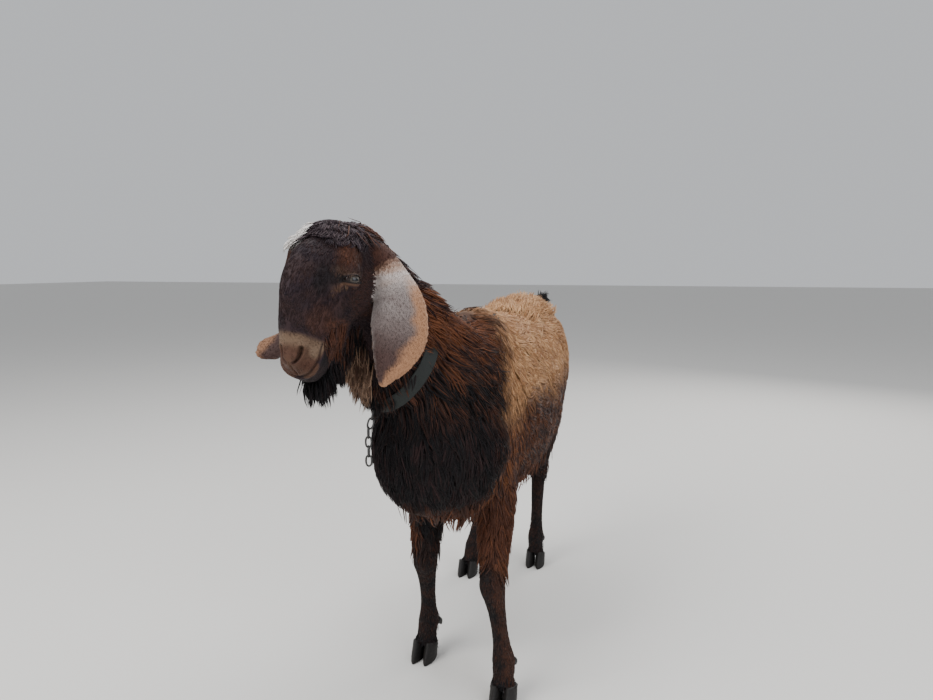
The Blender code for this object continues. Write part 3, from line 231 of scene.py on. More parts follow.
# Leg sizes: joint index and share towards the next, half width, half depth and shift back
FORE_SIZES = (
    (0.00, 0.038, 0.054, 0.000),
    (0.35, 0.035, 0.042, 0.004),
    (0.75, 0.028, 0.031, 0.002),
    (1.00, 0.0285, 0.031, -0.002),
    (1.22, 0.022, 0.025, 0.003),
    (1.55, 0.0180, 0.0215, 0.005),
    (1.82, 0.0195, 0.024, 0.004),
    (2.00, 0.0255, 0.0285, 0.002),
    (2.35, 0.0225, 0.0240, -0.001),
    (2.60, 0.0265, 0.0290, -0.002),
    (3.00, 0.0270, 0.0320, -0.002),
)
HIND_SIZES = (
    (0.00, 0.050, 0.086, 0.020),
    (0.35, 0.038, 0.058, 0.004),
    (0.75, 0.0235, 0.038, 0.000),
    (1.00, 0.0240, 0.0330, 0.004),
    (1.25, 0.0205, 0.0265, 0.000),
    (1.60, 0.0180, 0.0230, 0.002),
    (1.85, 0.0195, 0.0240, 0.002),
    (2.00, 0.0250, 0.0280, 0.002),
    (2.35, 0.0220, 0.0240, -0.001),
    (2.60, 0.0260, 0.0290, -0.002),
    (3.00, 0.0270, 0.0320, -0.002),
)
# The short dock of the tail, curled up: centre and half width
TAIL = (
    ((0.000, 0.385, 0.765), 0.030),
    ((0.006, 0.420, 0.773), 0.026),
    ((0.012, 0.446, 0.781), 0.017),
    ((0.018, 0.464, 0.793), 0.012),
    ((0.022, 0.472, 0.806), 0.006),
)


def torso():
    rings = []
    for along, top, bottom, width in smooth_row(TORSO, 30):
        high, low = top * WITHERS_HEIGHT, bottom * WITHERS_HEIGHT
        middle = low + (high - low) * 0.46
        centre = Vector((0.0, BREAST_Y + along * BODY_LENGTH, middle))
        half = max(width, 0.1) * BARREL_HALF_WIDTH
        across, up = Vector((1, 0, 0)), Vector((0, 0, 1))
        rings.append(ring(centre, across, up, half, high - middle, middle - low, 2.15))
    return loft("torso_form", rings)


def neck():
    stations = smooth_row([(*centre, wide, nape, throat) for centre, wide, nape, throat in NECK], 18)
    rings = []
    for i, row in enumerate(stations):
        ahead = Vector(stations[min(i + 1, len(stations) - 1)][:3])
        behind = Vector(stations[max(i - 1, 0)][:3])
        along = (ahead - behind).normalized()
        side = along.cross(Vector((0, 0, 1))).normalized()
        side = side if side.x > 0 else -side
        nape = side.cross(along).normalized()
        nape = nape if nape.y > 0 else -nape
        rings.append(ring(Vector(row[:3]), side, nape, row[3], row[4], row[5], 2.1))
    return loft("neck_form", rings)


def skull():
    rings = []
    for along, top, bottom, half, power in smooth_row(SKULL, 30):
        middle = (top + bottom) / 2
        centre = Vector((0, along * HEAD_LENGTH, middle))
        local = ring(centre, Vector((1, 0, 0)), Vector((0, 0, 1)), half, top - middle, middle - bottom, power)
        rings.append([HEAD @ p for p in local])
    return loft("skull_form", rings)


def head_mass(name, place, radii, tilt=(0.0, 0.0, 0.0)):
    """An ellipsoid given in head coordinates."""
    made = mass(name, place, radii, tilt)
    made.data.transform(HEAD)
    return facing_out(made)


def head_masses():
    made = [
        head_mass("forehead", (0, 0.040, 0.006), (0.050, 0.052, 0.042)),
        head_mass("poll_mound", (0, -0.006, -0.010), (0.050, 0.030, 0.030)),
        head_mass("nose_arch", (0, 0.118, 0.024), (0.037, 0.080, 0.046)),
        head_mass("chin", (0, 0.218, -0.104), (0.026, 0.032, 0.018), (8, 0, 0)),
        head_mass("nose_pad", (0, 0.244, -0.034), (0.026, 0.020, 0.024)),
    ]
    for side in (1, -1):
        made += [
            head_mass("brow", (side * 0.044, 0.062, 0.016), (0.024, 0.030, 0.020), (0, side * 24, 0)),
            head_mass("orbit", (side * 0.0545, 0.085, -0.007), (0.022, 0.028, 0.026)),
            head_mass("cheek", (side * 0.042, 0.052, -0.082), (0.033, 0.066, 0.058)),
            head_mass("cheek_bone", (side * 0.040, 0.125, -0.030), (0.016, 0.052, 0.018)),
            head_mass("lip", (side * 0.022, 0.230, -0.052), (0.020, 0.032, 0.024)),
            head_mass("jaw_bar", (side * 0.020, 0.155, -0.108), (0.018, 0.078, 0.018), (4, 0, 0)),
        ]
    return made


def leg_form(name, upper, joints, sizes):
    """A leg as level rings. upper lists rings above the first joint, sizes the rings from there down."""
    rings = [(Vector(centre), wide, deep) for centre, wide, deep in upper]
    for step, wide, deep, back in sizes:
        i = min(int(step), len(joints) - 2)
        here = Vector(joints[i]).lerp(Vector(joints[i + 1]), step - i)
        rings.append((here + Vector((0, back, 0)), wide, deep))
    rows = smooth_row([(*centre, wide, deep) for centre, wide, deep in rings], 4 * len(rings))
    side, ahead = Vector((1, 0, 0)), Vector((0, 1, 0))
    return loft(name, [ring(Vector(r[:3]), side, ahead, r[3], r[4], r[4], 2.0, 20) for r in rows])


def fore_leg(side, joints):
    """Shoulder blade, upper arm and foreleg of one side. side is 1 on the goat's left."""
    elbow = Vector(joints[0])
    upper = [((side * 0.050, -0.262, 0.60), 0.030, 0.060), ((side * 0.066, -0.262, 0.49), 0.036, 0.066)]
    return [
        leg_form("fore_form", upper, joints, FORE_SIZES),
        mass("shoulder_blade", (side * 0.066, -0.262, 0.635), (0.040, 0.082, 0.165), (-12, 0, 0)),
        mass("shoulder_point", (side * 0.070, -0.345, 0.530), (0.043, 0.062, 0.080)),
        mass("elbow_point", elbow + Vector((0, 0.030, 0.012)), (0.030, 0.030, 0.034)),
    ]


def hind_leg(side, joints):
    """Thigh, gaskin and hind leg of one side."""
    stifle = Vector(joints[0])
    upper = [
        ((side * 0.070, 0.300, 0.700), 0.046, 0.110),
        ((stifle.x * 0.4 + side * 0.050, stifle.y * 0.5 + 0.150, 0.600), 0.054, 0.120),
    ]
    hock = Vector(joints[1])
    return [
        leg_form("hind_form", upper, joints, HIND_SIZES),
        mass("thigh", (side * 0.052 + stifle.x * 0.4, 0.288, 0.610), (0.055, 0.125, 0.150), (10, 0, 0)),
        mass("stifle", stifle + Vector((side * 0.002, -0.020, 0.020)), (0.038, 0.045, 0.060)),
        mass("hock_point", hock + Vector((0, 0.030, 0.020)), (0.013, 0.016, 0.024)),
        mass("hip_bone", (side * 0.072, 0.235, 0.735), (0.032, 0.045, 0.030)),
        mass("seat_bone", (side * 0.050, 0.405, 0.665), (0.032, 0.036, 0.050)),
    ]


def tail_form():
    rows = smooth_row([(*centre, wide) for centre, wide in TAIL], 12)
    rings = []
    for i, row in enumerate(rows):
        along = Vector(rows[min(i + 1, 11)][:3]) - Vector(rows[max(i - 1, 0)][:3])
        side = Vector((1, 0, 0))
        up = side.cross(along.normalized())
        rings.append(ring(Vector(row[:3]), side, up, row[3], row[3] * 0.7, row[3] * 0.7, 2.0, 14))
    return loft("tail_form", rings)


def step_up(value, low, high):
    """0 below low, 1 above high, and smooth between them, for one number or an array."""
    t = np.clip((np.asarray(value, float) - low) / (high - low), 0.0, 1.0)
    return t * t * (3 - 2 * t)


def positions(mesh):
    made = np.empty(len(mesh.vertices) * 3)
    mesh.vertices.foreach_get("co", made)
    return made.reshape(-1, 3)


def set_positions(mesh, points):
    mesh.vertices.foreach_set("co", np.ascontiguousarray(points, dtype=np.float32).ravel())
    mesh.update()


def normals_of(mesh):
    made = np.empty(len(mesh.vertices) * 3)
    mesh.vertex_normals.foreach_get("vector", made)
    return made.reshape(-1, 3)


def to_head(points):
    """Points in head coordinates."""
    return (points - np.array(POLL)) @ HEAD_TURNED


def from_head(points):
    return np.asarray(points) @ HEAD_TURNED.T + np.array(POLL)


def soften(obj, name, times, weights=None):
    change = obj.modifiers.new(name, "SMOOTH")
    change.factor = 0.5
    change.iterations = times
    if weights is not None:
        group = obj.vertex_groups.new(name=name)
        for i, weight in enumerate(weights):
            if weight > 0.01:
                group.add([i], float(weight), "REPLACE")
        change.vertex_group = name


def remeshed(obj, voxel):
    change = obj.modifiers.new("voxels", "REMESH")
    change.mode = "VOXEL"
    change.voxel_size = voxel
    return apply_modifiers(obj)


def on_tail(places):
    """1 on the tail and 0 away from it."""
    return step_up(places[:, 1], 0.395, 0.420) * step_up(places[:, 2], 0.745, 0.765)


def whole_body():
    """The goat's outline without its ears, as one closed surface."""
    forms = [torso(), neck(), skull(), tail_form(), *head_masses()]
    forms += fore_leg(1, LEGS["fore_left"]) + fore_leg(-1, LEGS["fore_right"])
    forms += hind_leg(1, LEGS["hind_left"]) + hind_leg(-1, LEGS["hind_right"])
    forms.append(mass("sheath", (0.0, 0.125, 0.372), (0.024, 0.070, 0.024), (10, 0, 0)))
    forms.append(mass("breast", (-0.034, -0.394, 0.535), (0.110, 0.066, 0.140)))
    body = remeshed(join("whole", forms), VOXEL)
    places = positions(body.data)
    free = step_up(places[:, 2], 0.33, 0.47) * (1 - step_up(to_head(places)[:, 1], -0.01, 0.05))
    free *= 1 - on_tail(places)
    soften(body, "all_over", 9)
    soften(body, "trunk_only", 90, free)
    apply_modifiers(body)
    body.vertex_groups.clear()
    return body


# The left ear in head coordinates: middle of the blade, half width, facing, and the arc of its cup in degrees
LEFT_EAR = (
    ((0.036, -0.002, -0.020), 0.020, (0.43, -0.29, 0.85), 190),
    ((0.070, 0.012, -0.033), 0.025, (0.46, -0.12, 0.88), 180),
    ((0.097, 0.040, -0.055), 0.027, (0.54, 0.14, 0.83), 140),
    ((0.120, 0.085, -0.082), 0.046, (0.60, 0.40, 0.69), 100),
    ((0.129, 0.135, -0.104), 0.051, (0.60, 0.47, 0.64), 80),
    ((0.124, 0.180, -0.119), 0.038, (0.57, 0.50, 0.64), 75),
    ((0.114, 0.212, -0.130), 0.018, (0.55, 0.50, 0.66), 70),
    ((0.109, 0.228, -0.134), 0.005, (0.55, 0.50, 0.66), 60),
)
# The right one, mirrored: it hangs closer to the cheek, and its end turns out and forward
RIGHT_EAR = (
    ((0.036, -0.002, -0.020), 0.020, (0.43, -0.29, 0.85), 190),
    ((0.066, 0.014, -0.036), 0.025, (0.50, -0.10, 0.86), 180),
    ((0.084, 0.045, -0.064), 0.028, (0.72, 0.20, 0.66), 140),
    ((0.091, 0.085, -0.090), 0.038, (0.86, 0.30, 0.40), 100),
    ((0.093, 0.127, -0.102), 0.042, (0.78, 0.32, 0.54), 80),
    ((0.101, 0.163, -0.100), 0.038, (0.42, 0.42, 0.80), 60),
    ((0.115, 0.197, -0.093), 0.029, (0.10, 0.50, 0.86), 50),
    ((0.125, 0.217, -0.088), 0.006, (0.05, 0.50, 0.86), 40),
)
EAR_THICK = (0.0085, 0.0062)
# Past this height down the face, an end of an ear is its tip
EAR_TIP_Y = 0.10
EAR_RINGS = 44
EAR_ACROSS = 22


def ear(name, side):
    """A long lop ear as a thick cupped blade, hollow towards the neck."""
    table = LEFT_EAR if side > 0 else RIGHT_EAR
    rows = smooth_row([(*c, half, *n, math.radians(arc)) for c, half, n, arc in table], EAR_RINGS)
    rings = []
    for i, row in enumerate(rows):
        centre = Vector(row[:3])
        run = Vector(rows[min(i + 1, len(rows) - 1)][:3]) - Vector(rows[max(i - 1, 0)][:3])
        out = Vector(row[4:7])
        wide = run.cross(out).normalized()
        out = wide.cross(run).normalized()
        arc = row[7]
        radius = row[3] / math.sin(min(arc, math.pi) / 2)
        hub = centre - out * radius
        along = i / (len(rows) - 1)
        thick = EAR_THICK[0] + (EAR_THICK[1] - EAR_THICK[0]) * along
        front, back = [], []
        for k in range(EAR_ACROSS):
            share = k / (EAR_ACROSS - 1)
            angle = (share - 0.5) * arc
            spoke = out * math.cos(angle) + wide * math.sin(angle)
            edge = 1 - 0.30 * abs(share * 2 - 1) ** 4
            wave = 0.0016 * math.sin(along * 17 + share * 3) * along
            front.append(hub + spoke * (radius + wave + thick / 2 * edge))
            back.append(hub + spoke * (radius + wave - thick / 2 * edge))
        rings.append([HEAD @ (p * Vector((side, 1, 1))) for p in front + back[::-1]])
    return loft(name, rings)


# The head's features in head coordinates, for its left side
EYE_PLACE = Vector((0.0596, 0.0979, -0.0088))
EYE_OUT = Vector((0.88, 0.22, 0.40)).normalized()
# Up across the lids, which stay level while the head is down
EYE_UP = Vector((-0.05, -0.85, 0.53))
LID_HALF_LENGTH = 0.0148
LID_UP = 0.0056
LID_DOWN = 0.0046
MOUTH = (
    (0.000, 0.262, -0.060),
    (0.014, 0.259, -0.055),
    (0.026, 0.250, -0.047),
    (0.034, 0.237, -0.042),
    (0.0375, 0.222, -0.037),
    (0.0385, 0.211, -0.034),
)
NOSTRIL = (
    (0.0205, 0.237, -0.0095),
    (0.0190, 0.2455, -0.0145),
    (0.0140, 0.2525, -0.0195),
    (0.0068, 0.2575, -0.0222),
)
# How deep the coat is: on the trunk, the neck and chest, the legs, and the head
COAT_DEPTH = (0.009, 0.009, 0.0025, 0.0016)
TAIL_DEPTH = 0.003
# How much deeper the skin lies under the long hair of the withers
SADDLE_DEPTH = 0.009


def coat_depth(places):
    """How far the skin lies inside the outline."""
    trunk, neck_deep, leg, head = COAT_DEPTH
    local = to_head(places)
    y, z = places[:, 1], places[:, 2]
    made = leg + (trunk - leg) * step_up(z, 0.36, 0.50)
    saddle = step_up(z, 0.73, 0.79) * step_up(y, -0.36, -0.28) * (1 - step_up(y, -0.10, 0.05))
    on_neck = step_up(-y, 0.24, 0.34) * step_up(z, 0.50, 0.60)
    made = made + (neck_deep - made) * on_neck + SADDLE_DEPTH * saddle
    on_head = step_up(local[:, 1], -0.035, 0.030)
    made = made + (head - made) * on_head
    return made + (TAIL_DEPTH - made) * on_tail(places)


def distance_to_line(points, line):
    """Distance of each point to a broken line, and how far along it the nearest spot is, from 0 to 1."""
    best = np.full(len(points), 1e9)
    share = np.zeros(len(points))
    line = np.array(line, float)
    for i in range(len(line) - 1):
        a, d = line[i], line[i + 1] - line[i]
        t = np.clip(((points - a) @ d) / (d @ d), 0, 1)
        far = np.linalg.norm(points - a - t[:, None] * d, axis=1)
        nearer = far < best
        best[nearer] = far[nearer]
        share[nearer] = (i + t[nearer]) / (len(line) - 1)
    return best, share


def mirrored(points, side):
    return [(side * x, y, z) for x, y, z in points]


MOUTH_LINE = smooth_row(mirrored(MOUTH[:0:-1], -1) + list(MOUTH), 25)
NOSTRIL_LINES = [smooth_row(mirrored(NOSTRIL, side), 9) for side in (1, -1)]


def lay_lines(tree):
    """Moves the lines of the mouth and nostrils onto the hide."""
    for line in (MOUTH_LINE, *NOSTRIL_LINES):
        line[:] = to_head(nearest(tree, from_head(line))[0])


def refine_face(obj):
    """Splits the skin's faces on the head once, and once more round the eyes, nose and mouth."""
    for level in (0, 1):
        shape = bmesh.new()
        shape.from_mesh(obj.data)
        shape.faces.ensure_lookup_table()
        centres = np.array([face.calc_center_median() for face in shape.faces])
        local = to_head(centres)
        if level == 0:
            chosen = (local[:, 1] > 0.04) & (np.abs(local[:, 0]) < 0.080) & (local[:, 2] > -0.125)
            chosen &= local[:, 1] < 0.30
        else:
            chosen = distance_to_line(local, MOUTH_LINE)[0] < 0.016
            for side in (1, -1):
                eye_at = np.array(EYE_PLACE) * (side, 1, 1)
                chosen |= np.linalg.norm(local - eye_at, axis=1) < 0.034
                chosen |= distance_to_line(local, NOSTRIL_LINES[side < 0])[0] < 0.016
        edges = {edge for i in np.nonzero(chosen)[0] for edge in shape.faces[i].edges}
        bmesh.ops.subdivide_edges(shape, edges=list(edges), cuts=1, use_grid_fill=True, smooth=0.0)
        shape.to_mesh(obj.data)
        shape.free()
    return obj


def lid_field(local, side):
    """For points near an eye: how far off its centre, along and out of the lids' opening, and up across it.

    Out of the opening, 1 is the lids' margin.
    """
    centre = np.array(EYE_PLACE) * (side, 1, 1)
    out = np.array(EYE_OUT) * (side, 1, 1)
    up = np.array(EYE_UP) * (side, 1, 1)
    up = up - out * (out @ up)
    up /= np.linalg.norm(up)
    along = np.cross(up, out)
    away = local - centre
    far = np.linalg.norm(away, axis=1)
    ray = away / far[:, None]
    a = ray @ along * EYE_RADIUS / LID_HALF_LENGTH
    b = ray @ up * EYE_RADIUS
    b = np.where(b > 0, b / LID_UP, -b / LID_DOWN)
    facing = ray @ out
    out_of = np.sqrt(a**2 + b**2)
    out_of = np.where(facing > 0, out_of, 9.0)
    return far, ray, out_of, ray @ up


def shape_face(obj):
    """Presses the eyes' openings, lids, nostrils, lips and the line of the mouth into the skin."""
    places = positions(obj.data)
    normals = normals_of(obj.data)
    local = to_head(places)
    inward = normals @ HEAD_TURNED
    moved = local.copy()
    for side in (1, -1):
        far, ray, out_of, upward = lid_field(local, side)
        near = far < 0.045
        centre = np.array(EYE_PLACE) * (side, 1, 1)
        rim = EYE_RADIUS + 0.0022
        target = np.where(out_of < 1.0, EYE_RADIUS - 0.004, rim)
        hold = np.where(out_of < 1.0, 1.0, 1 - step_up(out_of, 1.25, 2.6))
        fold = 0.0016 * np.exp(-(((out_of - 1.75) / 0.16) ** 2)) * (upward > 0.05)
        reach = far + (target - far) * hold - fold
        reach = np.where(out_of < 1.0, reach, np.maximum(reach, EYE_RADIUS + 0.0017))
        change = (centre + ray * reach[:, None]) - local
        moved += np.where(near[:, None], change, 0)
        gap, share = distance_to_line(local, NOSTRIL_LINES[side < 0])
        width = 0.0036 - 0.0016 * share
        pit = 0.0080 * np.exp(-((gap / width) ** 4))
        flare = 0.0020 * np.exp(-(((gap - width * 1.9) / 0.0028) ** 2)) * (1 - share * 0.5)
        moved += inward * (flare - pit)[:, None]
    gap, share = distance_to_line(local, MOUTH_LINE)
    fade = np.sin(np.pi * np.clip(share, 0.02, 0.98)) ** 0.35
    groove = 0.0034 * np.exp(-((gap / 0.0019) ** 2)) * fade
    below = local[:, 2] < np.interp(local[:, 1], (0.20, 0.22, 0.24, 0.262), (-0.048, -0.043, -0.043, -0.060))
    lip = 0.0026 * np.exp(-(((gap - 0.0060) / 0.0036) ** 2)) * fade * np.where(below, 1.0, 0.55)
    moved += inward * (lip - groove)[:, None]
    crease = 0.0028 * np.exp(-((local[:, 0] / 0.0016) ** 2)) * step_up(local[:, 1], 0.238, 0.252)
    crease *= step_up(-local[:, 2], 0.018, 0.028) * (1 - step_up(-local[:, 2], 0.054, 0.060))
    moved -= inward * crease[:, None]
    set_positions(obj.data, from_head(moved))


def coronet_height(places, leg):
    """How far each point is above the cut between a leg and its claws."""
    x, y, _ = LEGS[leg][3]
    up = np.array((0, CORONET_SLOPE, 1.0)) / math.hypot(CORONET_SLOPE, 1.0)
    return (places - (x, y, CORONET_Z)) @ up, up


def leg_of(places):
    """The nearest leg to each low point, as an index into LEGS."""
    feet = np.array([joints[3][:2] for joints in LEGS.values()])
    knees = np.array([joints[1][:2] for joints in LEGS.values()])
    share = step_up(places[:, 2], 0.0, 0.25)[:, None, None]
    where = feet[None] * (1 - share) + knees[None] * share
    return np.argmin(np.linalg.norm(places[:, None, :2] - where, axis=2), axis=1)


def make_skin():
    """The whole hide as one closed mesh, inside the outline by the depth of the coat."""
    body = whole_body()
    places = positions(body.data)
    places = places - normals_of(body.data) * coat_depth(places)[:, None]
    set_positions(body.data, places)
    bag = [
        mass("bag", (-0.012 + side * 0.016, 0.262, 0.430), (0.024, 0.032, 0.046), (0, side * 4, 0), 20)
        for side in (1, -1)
    ]
    bag.append(mass("cord", (-0.012, 0.250, 0.485), (0.026, 0.030, 0.055), fineness=20))
    ears = [ear("ear_form", 1), ear("ear_form", -1)]
    ear_trees = [tree_of(e.data) for e in ears]
    skin = remeshed(join("skin", [body, *bag, *ears]), SKIN_VOXEL)
    soften(skin, "again", 3)
    apply_modifiers(skin)
    thin_out(skin)
    lay_lines(tree_of(skin.data))
    refine_face(skin)
    places = positions(skin.data)
    legs = leg_of(places)
    for i, leg in enumerate(LEGS):
        height, up = coronet_height(places, leg)
        low = (legs == i) & (height < 0) & (places[:, 2] < 0.08)
        places[low] -= height[low, None] * up
    set_positions(skin.data, places)
    shape_face(skin)
    return skin, ear_trees


def thin_out(obj):
    """Fewer, larger faces where the long coat hides the hide. The head and ears keep theirs."""
    local = to_head(positions(obj.data))
    kept = step_up(local[:, 1], -0.03, 0.0) * (local[:, 2] > -0.17)
    group = obj.vertex_groups.new(name="thin")
    for i in np.nonzero(kept < 0.5)[0]:
        group.add([int(i)], 1.0, "REPLACE")
    change = obj.modifiers.new("thin", "DECIMATE")
    change.ratio = SKIN_SHARE
    change.vertex_group = "thin"
    change.vertex_group_factor = 1000.0
    apply_modifiers(obj)
    obj.vertex_groups.clear()


def tree_of(mesh):
    return BVHTree.FromPolygons([v.co for v in mesh.vertices], [tuple(p.vertices) for p in mesh.polygons])


def nearest(tree, points):
    """Nearest places on a surface and the normals there."""
    spots = np.empty((len(points), 3))
    normals = np.empty((len(points), 3))
    for i, p in enumerate(points):
        spot, normal, _, _ = tree.find_nearest(p)
        spots[i] = spot
        normals[i] = normal
    return spots, normals


def unit(vectors):
    return vectors / np.maximum(np.linalg.norm(vectors, axis=-1, keepdims=True), 1e-9)


def waves(points, size, seed, count=7):
    """Soft noise between about -1 and 1 whose features are size metres across."""
    dice = np.random.default_rng(seed)
    turns = unit(dice.normal(size=(count, 3))) * dice.uniform(0.6, 1.5, (count, 1))
    phases = dice.uniform(0, math.tau, count)
    return np.sin(points @ turns.T * (math.tau / size) + phases).mean(axis=1) * 1.7


# Hair colours, linear
BLACK = (0.0065, 0.0055, 0.0065)
MAHOGANY = (0.026, 0.0125, 0.0125)
RUST = (0.150, 0.052, 0.022)
DEEP_RUST = (0.072, 0.026, 0.014)
TAN = (0.320, 0.160, 0.072)
GOLD = (0.520, 0.305, 0.155)
BELLY = (0.190, 0.072, 0.030)
EAR_TAN = (0.325, 0.168, 0.092)
EAR_WHITE = (0.470, 0.420, 0.400)
MOTTLE = (0.085, 0.052, 0.047)
UMBER = (0.042, 0.021, 0.018)
MUZZLE = (0.062, 0.028, 0.017)
PALE = (0.215, 0.150, 0.100)
PINK = (0.055, 0.021, 0.014)
WHITE = (0.720, 0.690, 0.670)
# Near-black head hair with a blue tint that is painted sheen
PLUM_WITH_PAINTED_SHEEN = (0.018, 0.011, 0.016)
# Lighter, bluish hair of the topknot: dark hair with a painted sheen
TOPKNOT_WITH_PAINTED_SHEEN = (0.062, 0.044, 0.048)
THROAT_DARK = (0.070, 0.036, 0.024)
THROAT_PALE = (0.240, 0.150, 0.100)


def mix(base, colour, share):
    share = np.clip(share, 0, 1)[:, None]
    return base * (1 - share) + np.array(colour) * share


def near_spot(local, spot, size, edge=0.35):
    """1 at a spot in head coordinates, on either side of the head, and 0 past its size."""
    away = (np.abs(local[:, 0]) if spot[0] > 0 else local[:, 0]) - spot[0]
    down, out = local[:, 1] - spot[1], local[:, 2] - spot[2]
    far = np.sqrt((away / size[0]) ** 2 + (down / size[1]) ** 2 + (out / size[2]) ** 2)
    return 1 - step_up(far, 1 - edge, 1 + edge)


class Coat:
    """Where each point lies on the goat, and the colour, length and lie of its hair."""

    def __init__(self, places, normals, ear_trees):
        self.p, self.n = places, normals
        self.h = to_head(places)
        self.ear, self.along, self.across, self.outer = self.read_ears(ear_trees)
        _, y, z = places.T
        hx, hy, hz = self.h.T
        self.head = step_up(hy, -0.045, 0.005) * (hz > -0.165) * (np.abs(hx) < 0.10)
        self.tail = step_up(y, 0.425, 0.450) * step_up(z, 0.765, 0.785)
        legs = leg_of(places)
        self.leg_index = legs
        self.fore = legs < 2
        self.leg = 1 - step_up(z, 0.40, 0.47)
        self.low = 1 - step_up(z, 0.25, 0.34)
        bag = np.linalg.norm((places - (-0.012, 0.262, 0.440)) / (0.048, 0.040, 0.058), axis=1)
        self.bag = 1 - step_up(bag, 1.0, 1.1)
        self.neck = step_up(-y + (z - 0.70) * 0.45, 0.235, 0.335) * step_up(z, 0.44, 0.50)

    def read_ears(self, trees):
        count = len(self.p)
        on, along, across, outer = np.zeros(count), np.zeros(count), np.zeros(count), np.zeros(count)
        close = np.nonzero((self.h[:, 1] > -0.02) & (self.h[:, 2] < 0.03) & (np.abs(self.h[:, 0]) > 0.03))[0]
        sides = 2 * EAR_ACROSS
        for tree in trees:
            for i in close:
                spot, _, face, _ = tree.find_nearest(Vector(self.p[i]), 0.0045)
                if spot is None:
                    continue
                if face >= (EAR_RINGS - 1) * sides:
                    at_tip = self.h[i, 1] > EAR_TIP_Y
                    on[i], along[i], outer[i], across[i] = at_tip, at_tip, at_tip, 0.5
                    continue
                row, k = divmod(face, sides)
                on[i] = 1.0
                along[i] = row / (EAR_RINGS - 1)
                outer[i] = 1.0 if k < EAR_ACROSS else 0.0
                across[i] = min(k, sides - 1 - k) / (EAR_ACROSS - 1)
        on *= step_up(along, 0.06, 0.14)
        return on, along, across, outer

    def lie(self):
        """The way the hair lies along the skin."""
        x, y, z = self.p.T
        crest = np.interp(y, (-0.48, -0.30, -0.10), (-0.138, -0.020, 0.0))
        out = np.clip((x - crest) / 0.045, -1, 1)[:, None]
        one = np.ones(len(x))

        def along(a, b, c):
            return np.stack([a * one, b * one, c * one], axis=1)

        chest = along(0.10, 0.16, -1.0) * np.hstack([out, out * 0 + 1, out * 0 + 1])
        down_neck = along(0.40, 0.62, -0.85) * np.hstack([out, out * 0 + 1, out * 0 + 1])
        trunk = np.stack([0.20 * out[:, 0], 0.80 * one, np.where(z < 0.72, -0.60, -0.15)], axis=1)
        rump = along(0.10, 0.40, -0.95) * np.hstack([out, out * 0 + 1, out * 0 + 1])
        made = chest
        for other, share in (
            (down_neck, step_up(-y, 0.28, 0.36) * step_up(z, 0.60, 0.70)),
            (trunk, step_up(y, -0.28, -0.12) * step_up(z, 0.40, 0.50)),
            (rump, step_up(y, 0.24, 0.38) * step_up(z, 0.40, 0.50)),
            (along(0, 0.10, -1.0), self.leg),
            (along(0.1, 0.60, 0.80), self.tail),
        ):
            made = made + (other - made) * share[:, None]
        hx, hy, hz = self.h.T
        aside = np.sign(hx)
        crown = np.stack([hx * 5, one, 0.0 * one], axis=1)
        cheek = np.stack([0.1 * aside, -0.35 * one, -0.9 * one], axis=1)
        lips = np.stack([0.5 * aside, -0.35 * one, -0.9 * one], axis=1)
        face = crown + (cheek - crown) * (1 - step_up(hz, -0.045, 0.010))[:, None]
        face = face + (lips - face) * step_up(hy, 0.185, 0.225)[:, None]
        made = made + (face @ HEAD_TURNED.T - made) * self.head[:, None]
        root, tip = np.array(LEFT_EAR[0][0]), np.array(LEFT_EAR[-1][0])
        down_ear = np.where(hx[:, None] > 0, (tip - root) * (1, 1, 1), (tip - root) * (-1, 1, 1))
        made = np.where(self.ear[:, None] > 0.5, down_ear @ HEAD_TURNED.T, made)
        made = made - self.n * np.sum(made * self.n, axis=1)[:, None]
        return unit(made)

    def colours(self):
        """Two hair colours at each point and the share of the second."""
        p, h = self.p, self.h
        x, y, z = p.T
        hx, hy, hz = h.T
        coarse = waves(p, 0.16, 3)
        fine = waves(p, 0.045, 4)
        count = len(x)
        first = np.tile(TAN, (count, 1))
        second = np.tile(GOLD, (count, 1))
        share = 0.42 + 0.35 * fine
        # Darker towards the belly and on the low flank behind the shoulder: partly the hair's own colour, partly
        # painted shade under the barrel
        low = 1 - step_up(z + 0.03 * coarse, 0.56, 0.66)
        first, second = mix(first, UMBER, low), mix(second, BELLY, low)
        flank_tone_and_shade = 0.62 * low * step_up(y, -0.25, -0.18)
        first, second = mix(first, BLACK, flank_tone_and_shade * 0.5), mix(second, DEEP_RUST, flank_tone_and_shade)
        patches = step_up(waves(p, 0.11, 12), 0.15, 0.75) * (1 - low)
        first = mix(first, BELLY, patches * 0.55)
        topline = step_up(z, 0.775, 0.80) * step_up(y, -0.20, 0.0) * (1 - step_up(y, 0.30, 0.42))
        first = mix(first, BELLY, topline * 0.35)
        # Dark fore end: neck, chest and shoulder
        edge = np.interp(z, (0.50, 0.55, 0.62, 0.73, 0.79), (-0.368, -0.360, -0.333, -0.315, -0.225))
        fore_end = 1 - step_up(y - edge + 0.022 * coarse + 0.016 * fine, -0.045, 0.045)
        shoulder = step_up(z, 0.60, 0.70) * step_up(x, -0.05, 0.02)
        rusty = mix(np.tile(DEEP_RUST, (count, 1)), RUST, shoulder * 0.6)
        hold = fore_end[:, None]
        first, second = mix(first, BLACK, fore_end), second * (1 - hold) + rusty * hold
        share = share * (1 - fore_end) + fore_end * (0.34 + 0.30 * fine)
        upper_neck = self.neck * step_up(z, 0.66, 0.80)
        first = mix(first, MAHOGANY, upper_neck)
        second = mix(second, RUST, upper_neck)
        share = share + 0.22 * upper_neck * (x > -0.06)
        chest = step_up(-y, 0.33, 0.40) * (1 - step_up(z, 0.58, 0.70))
        first, second = mix(first, BLACK, chest), mix(second, MAHOGANY, chest)
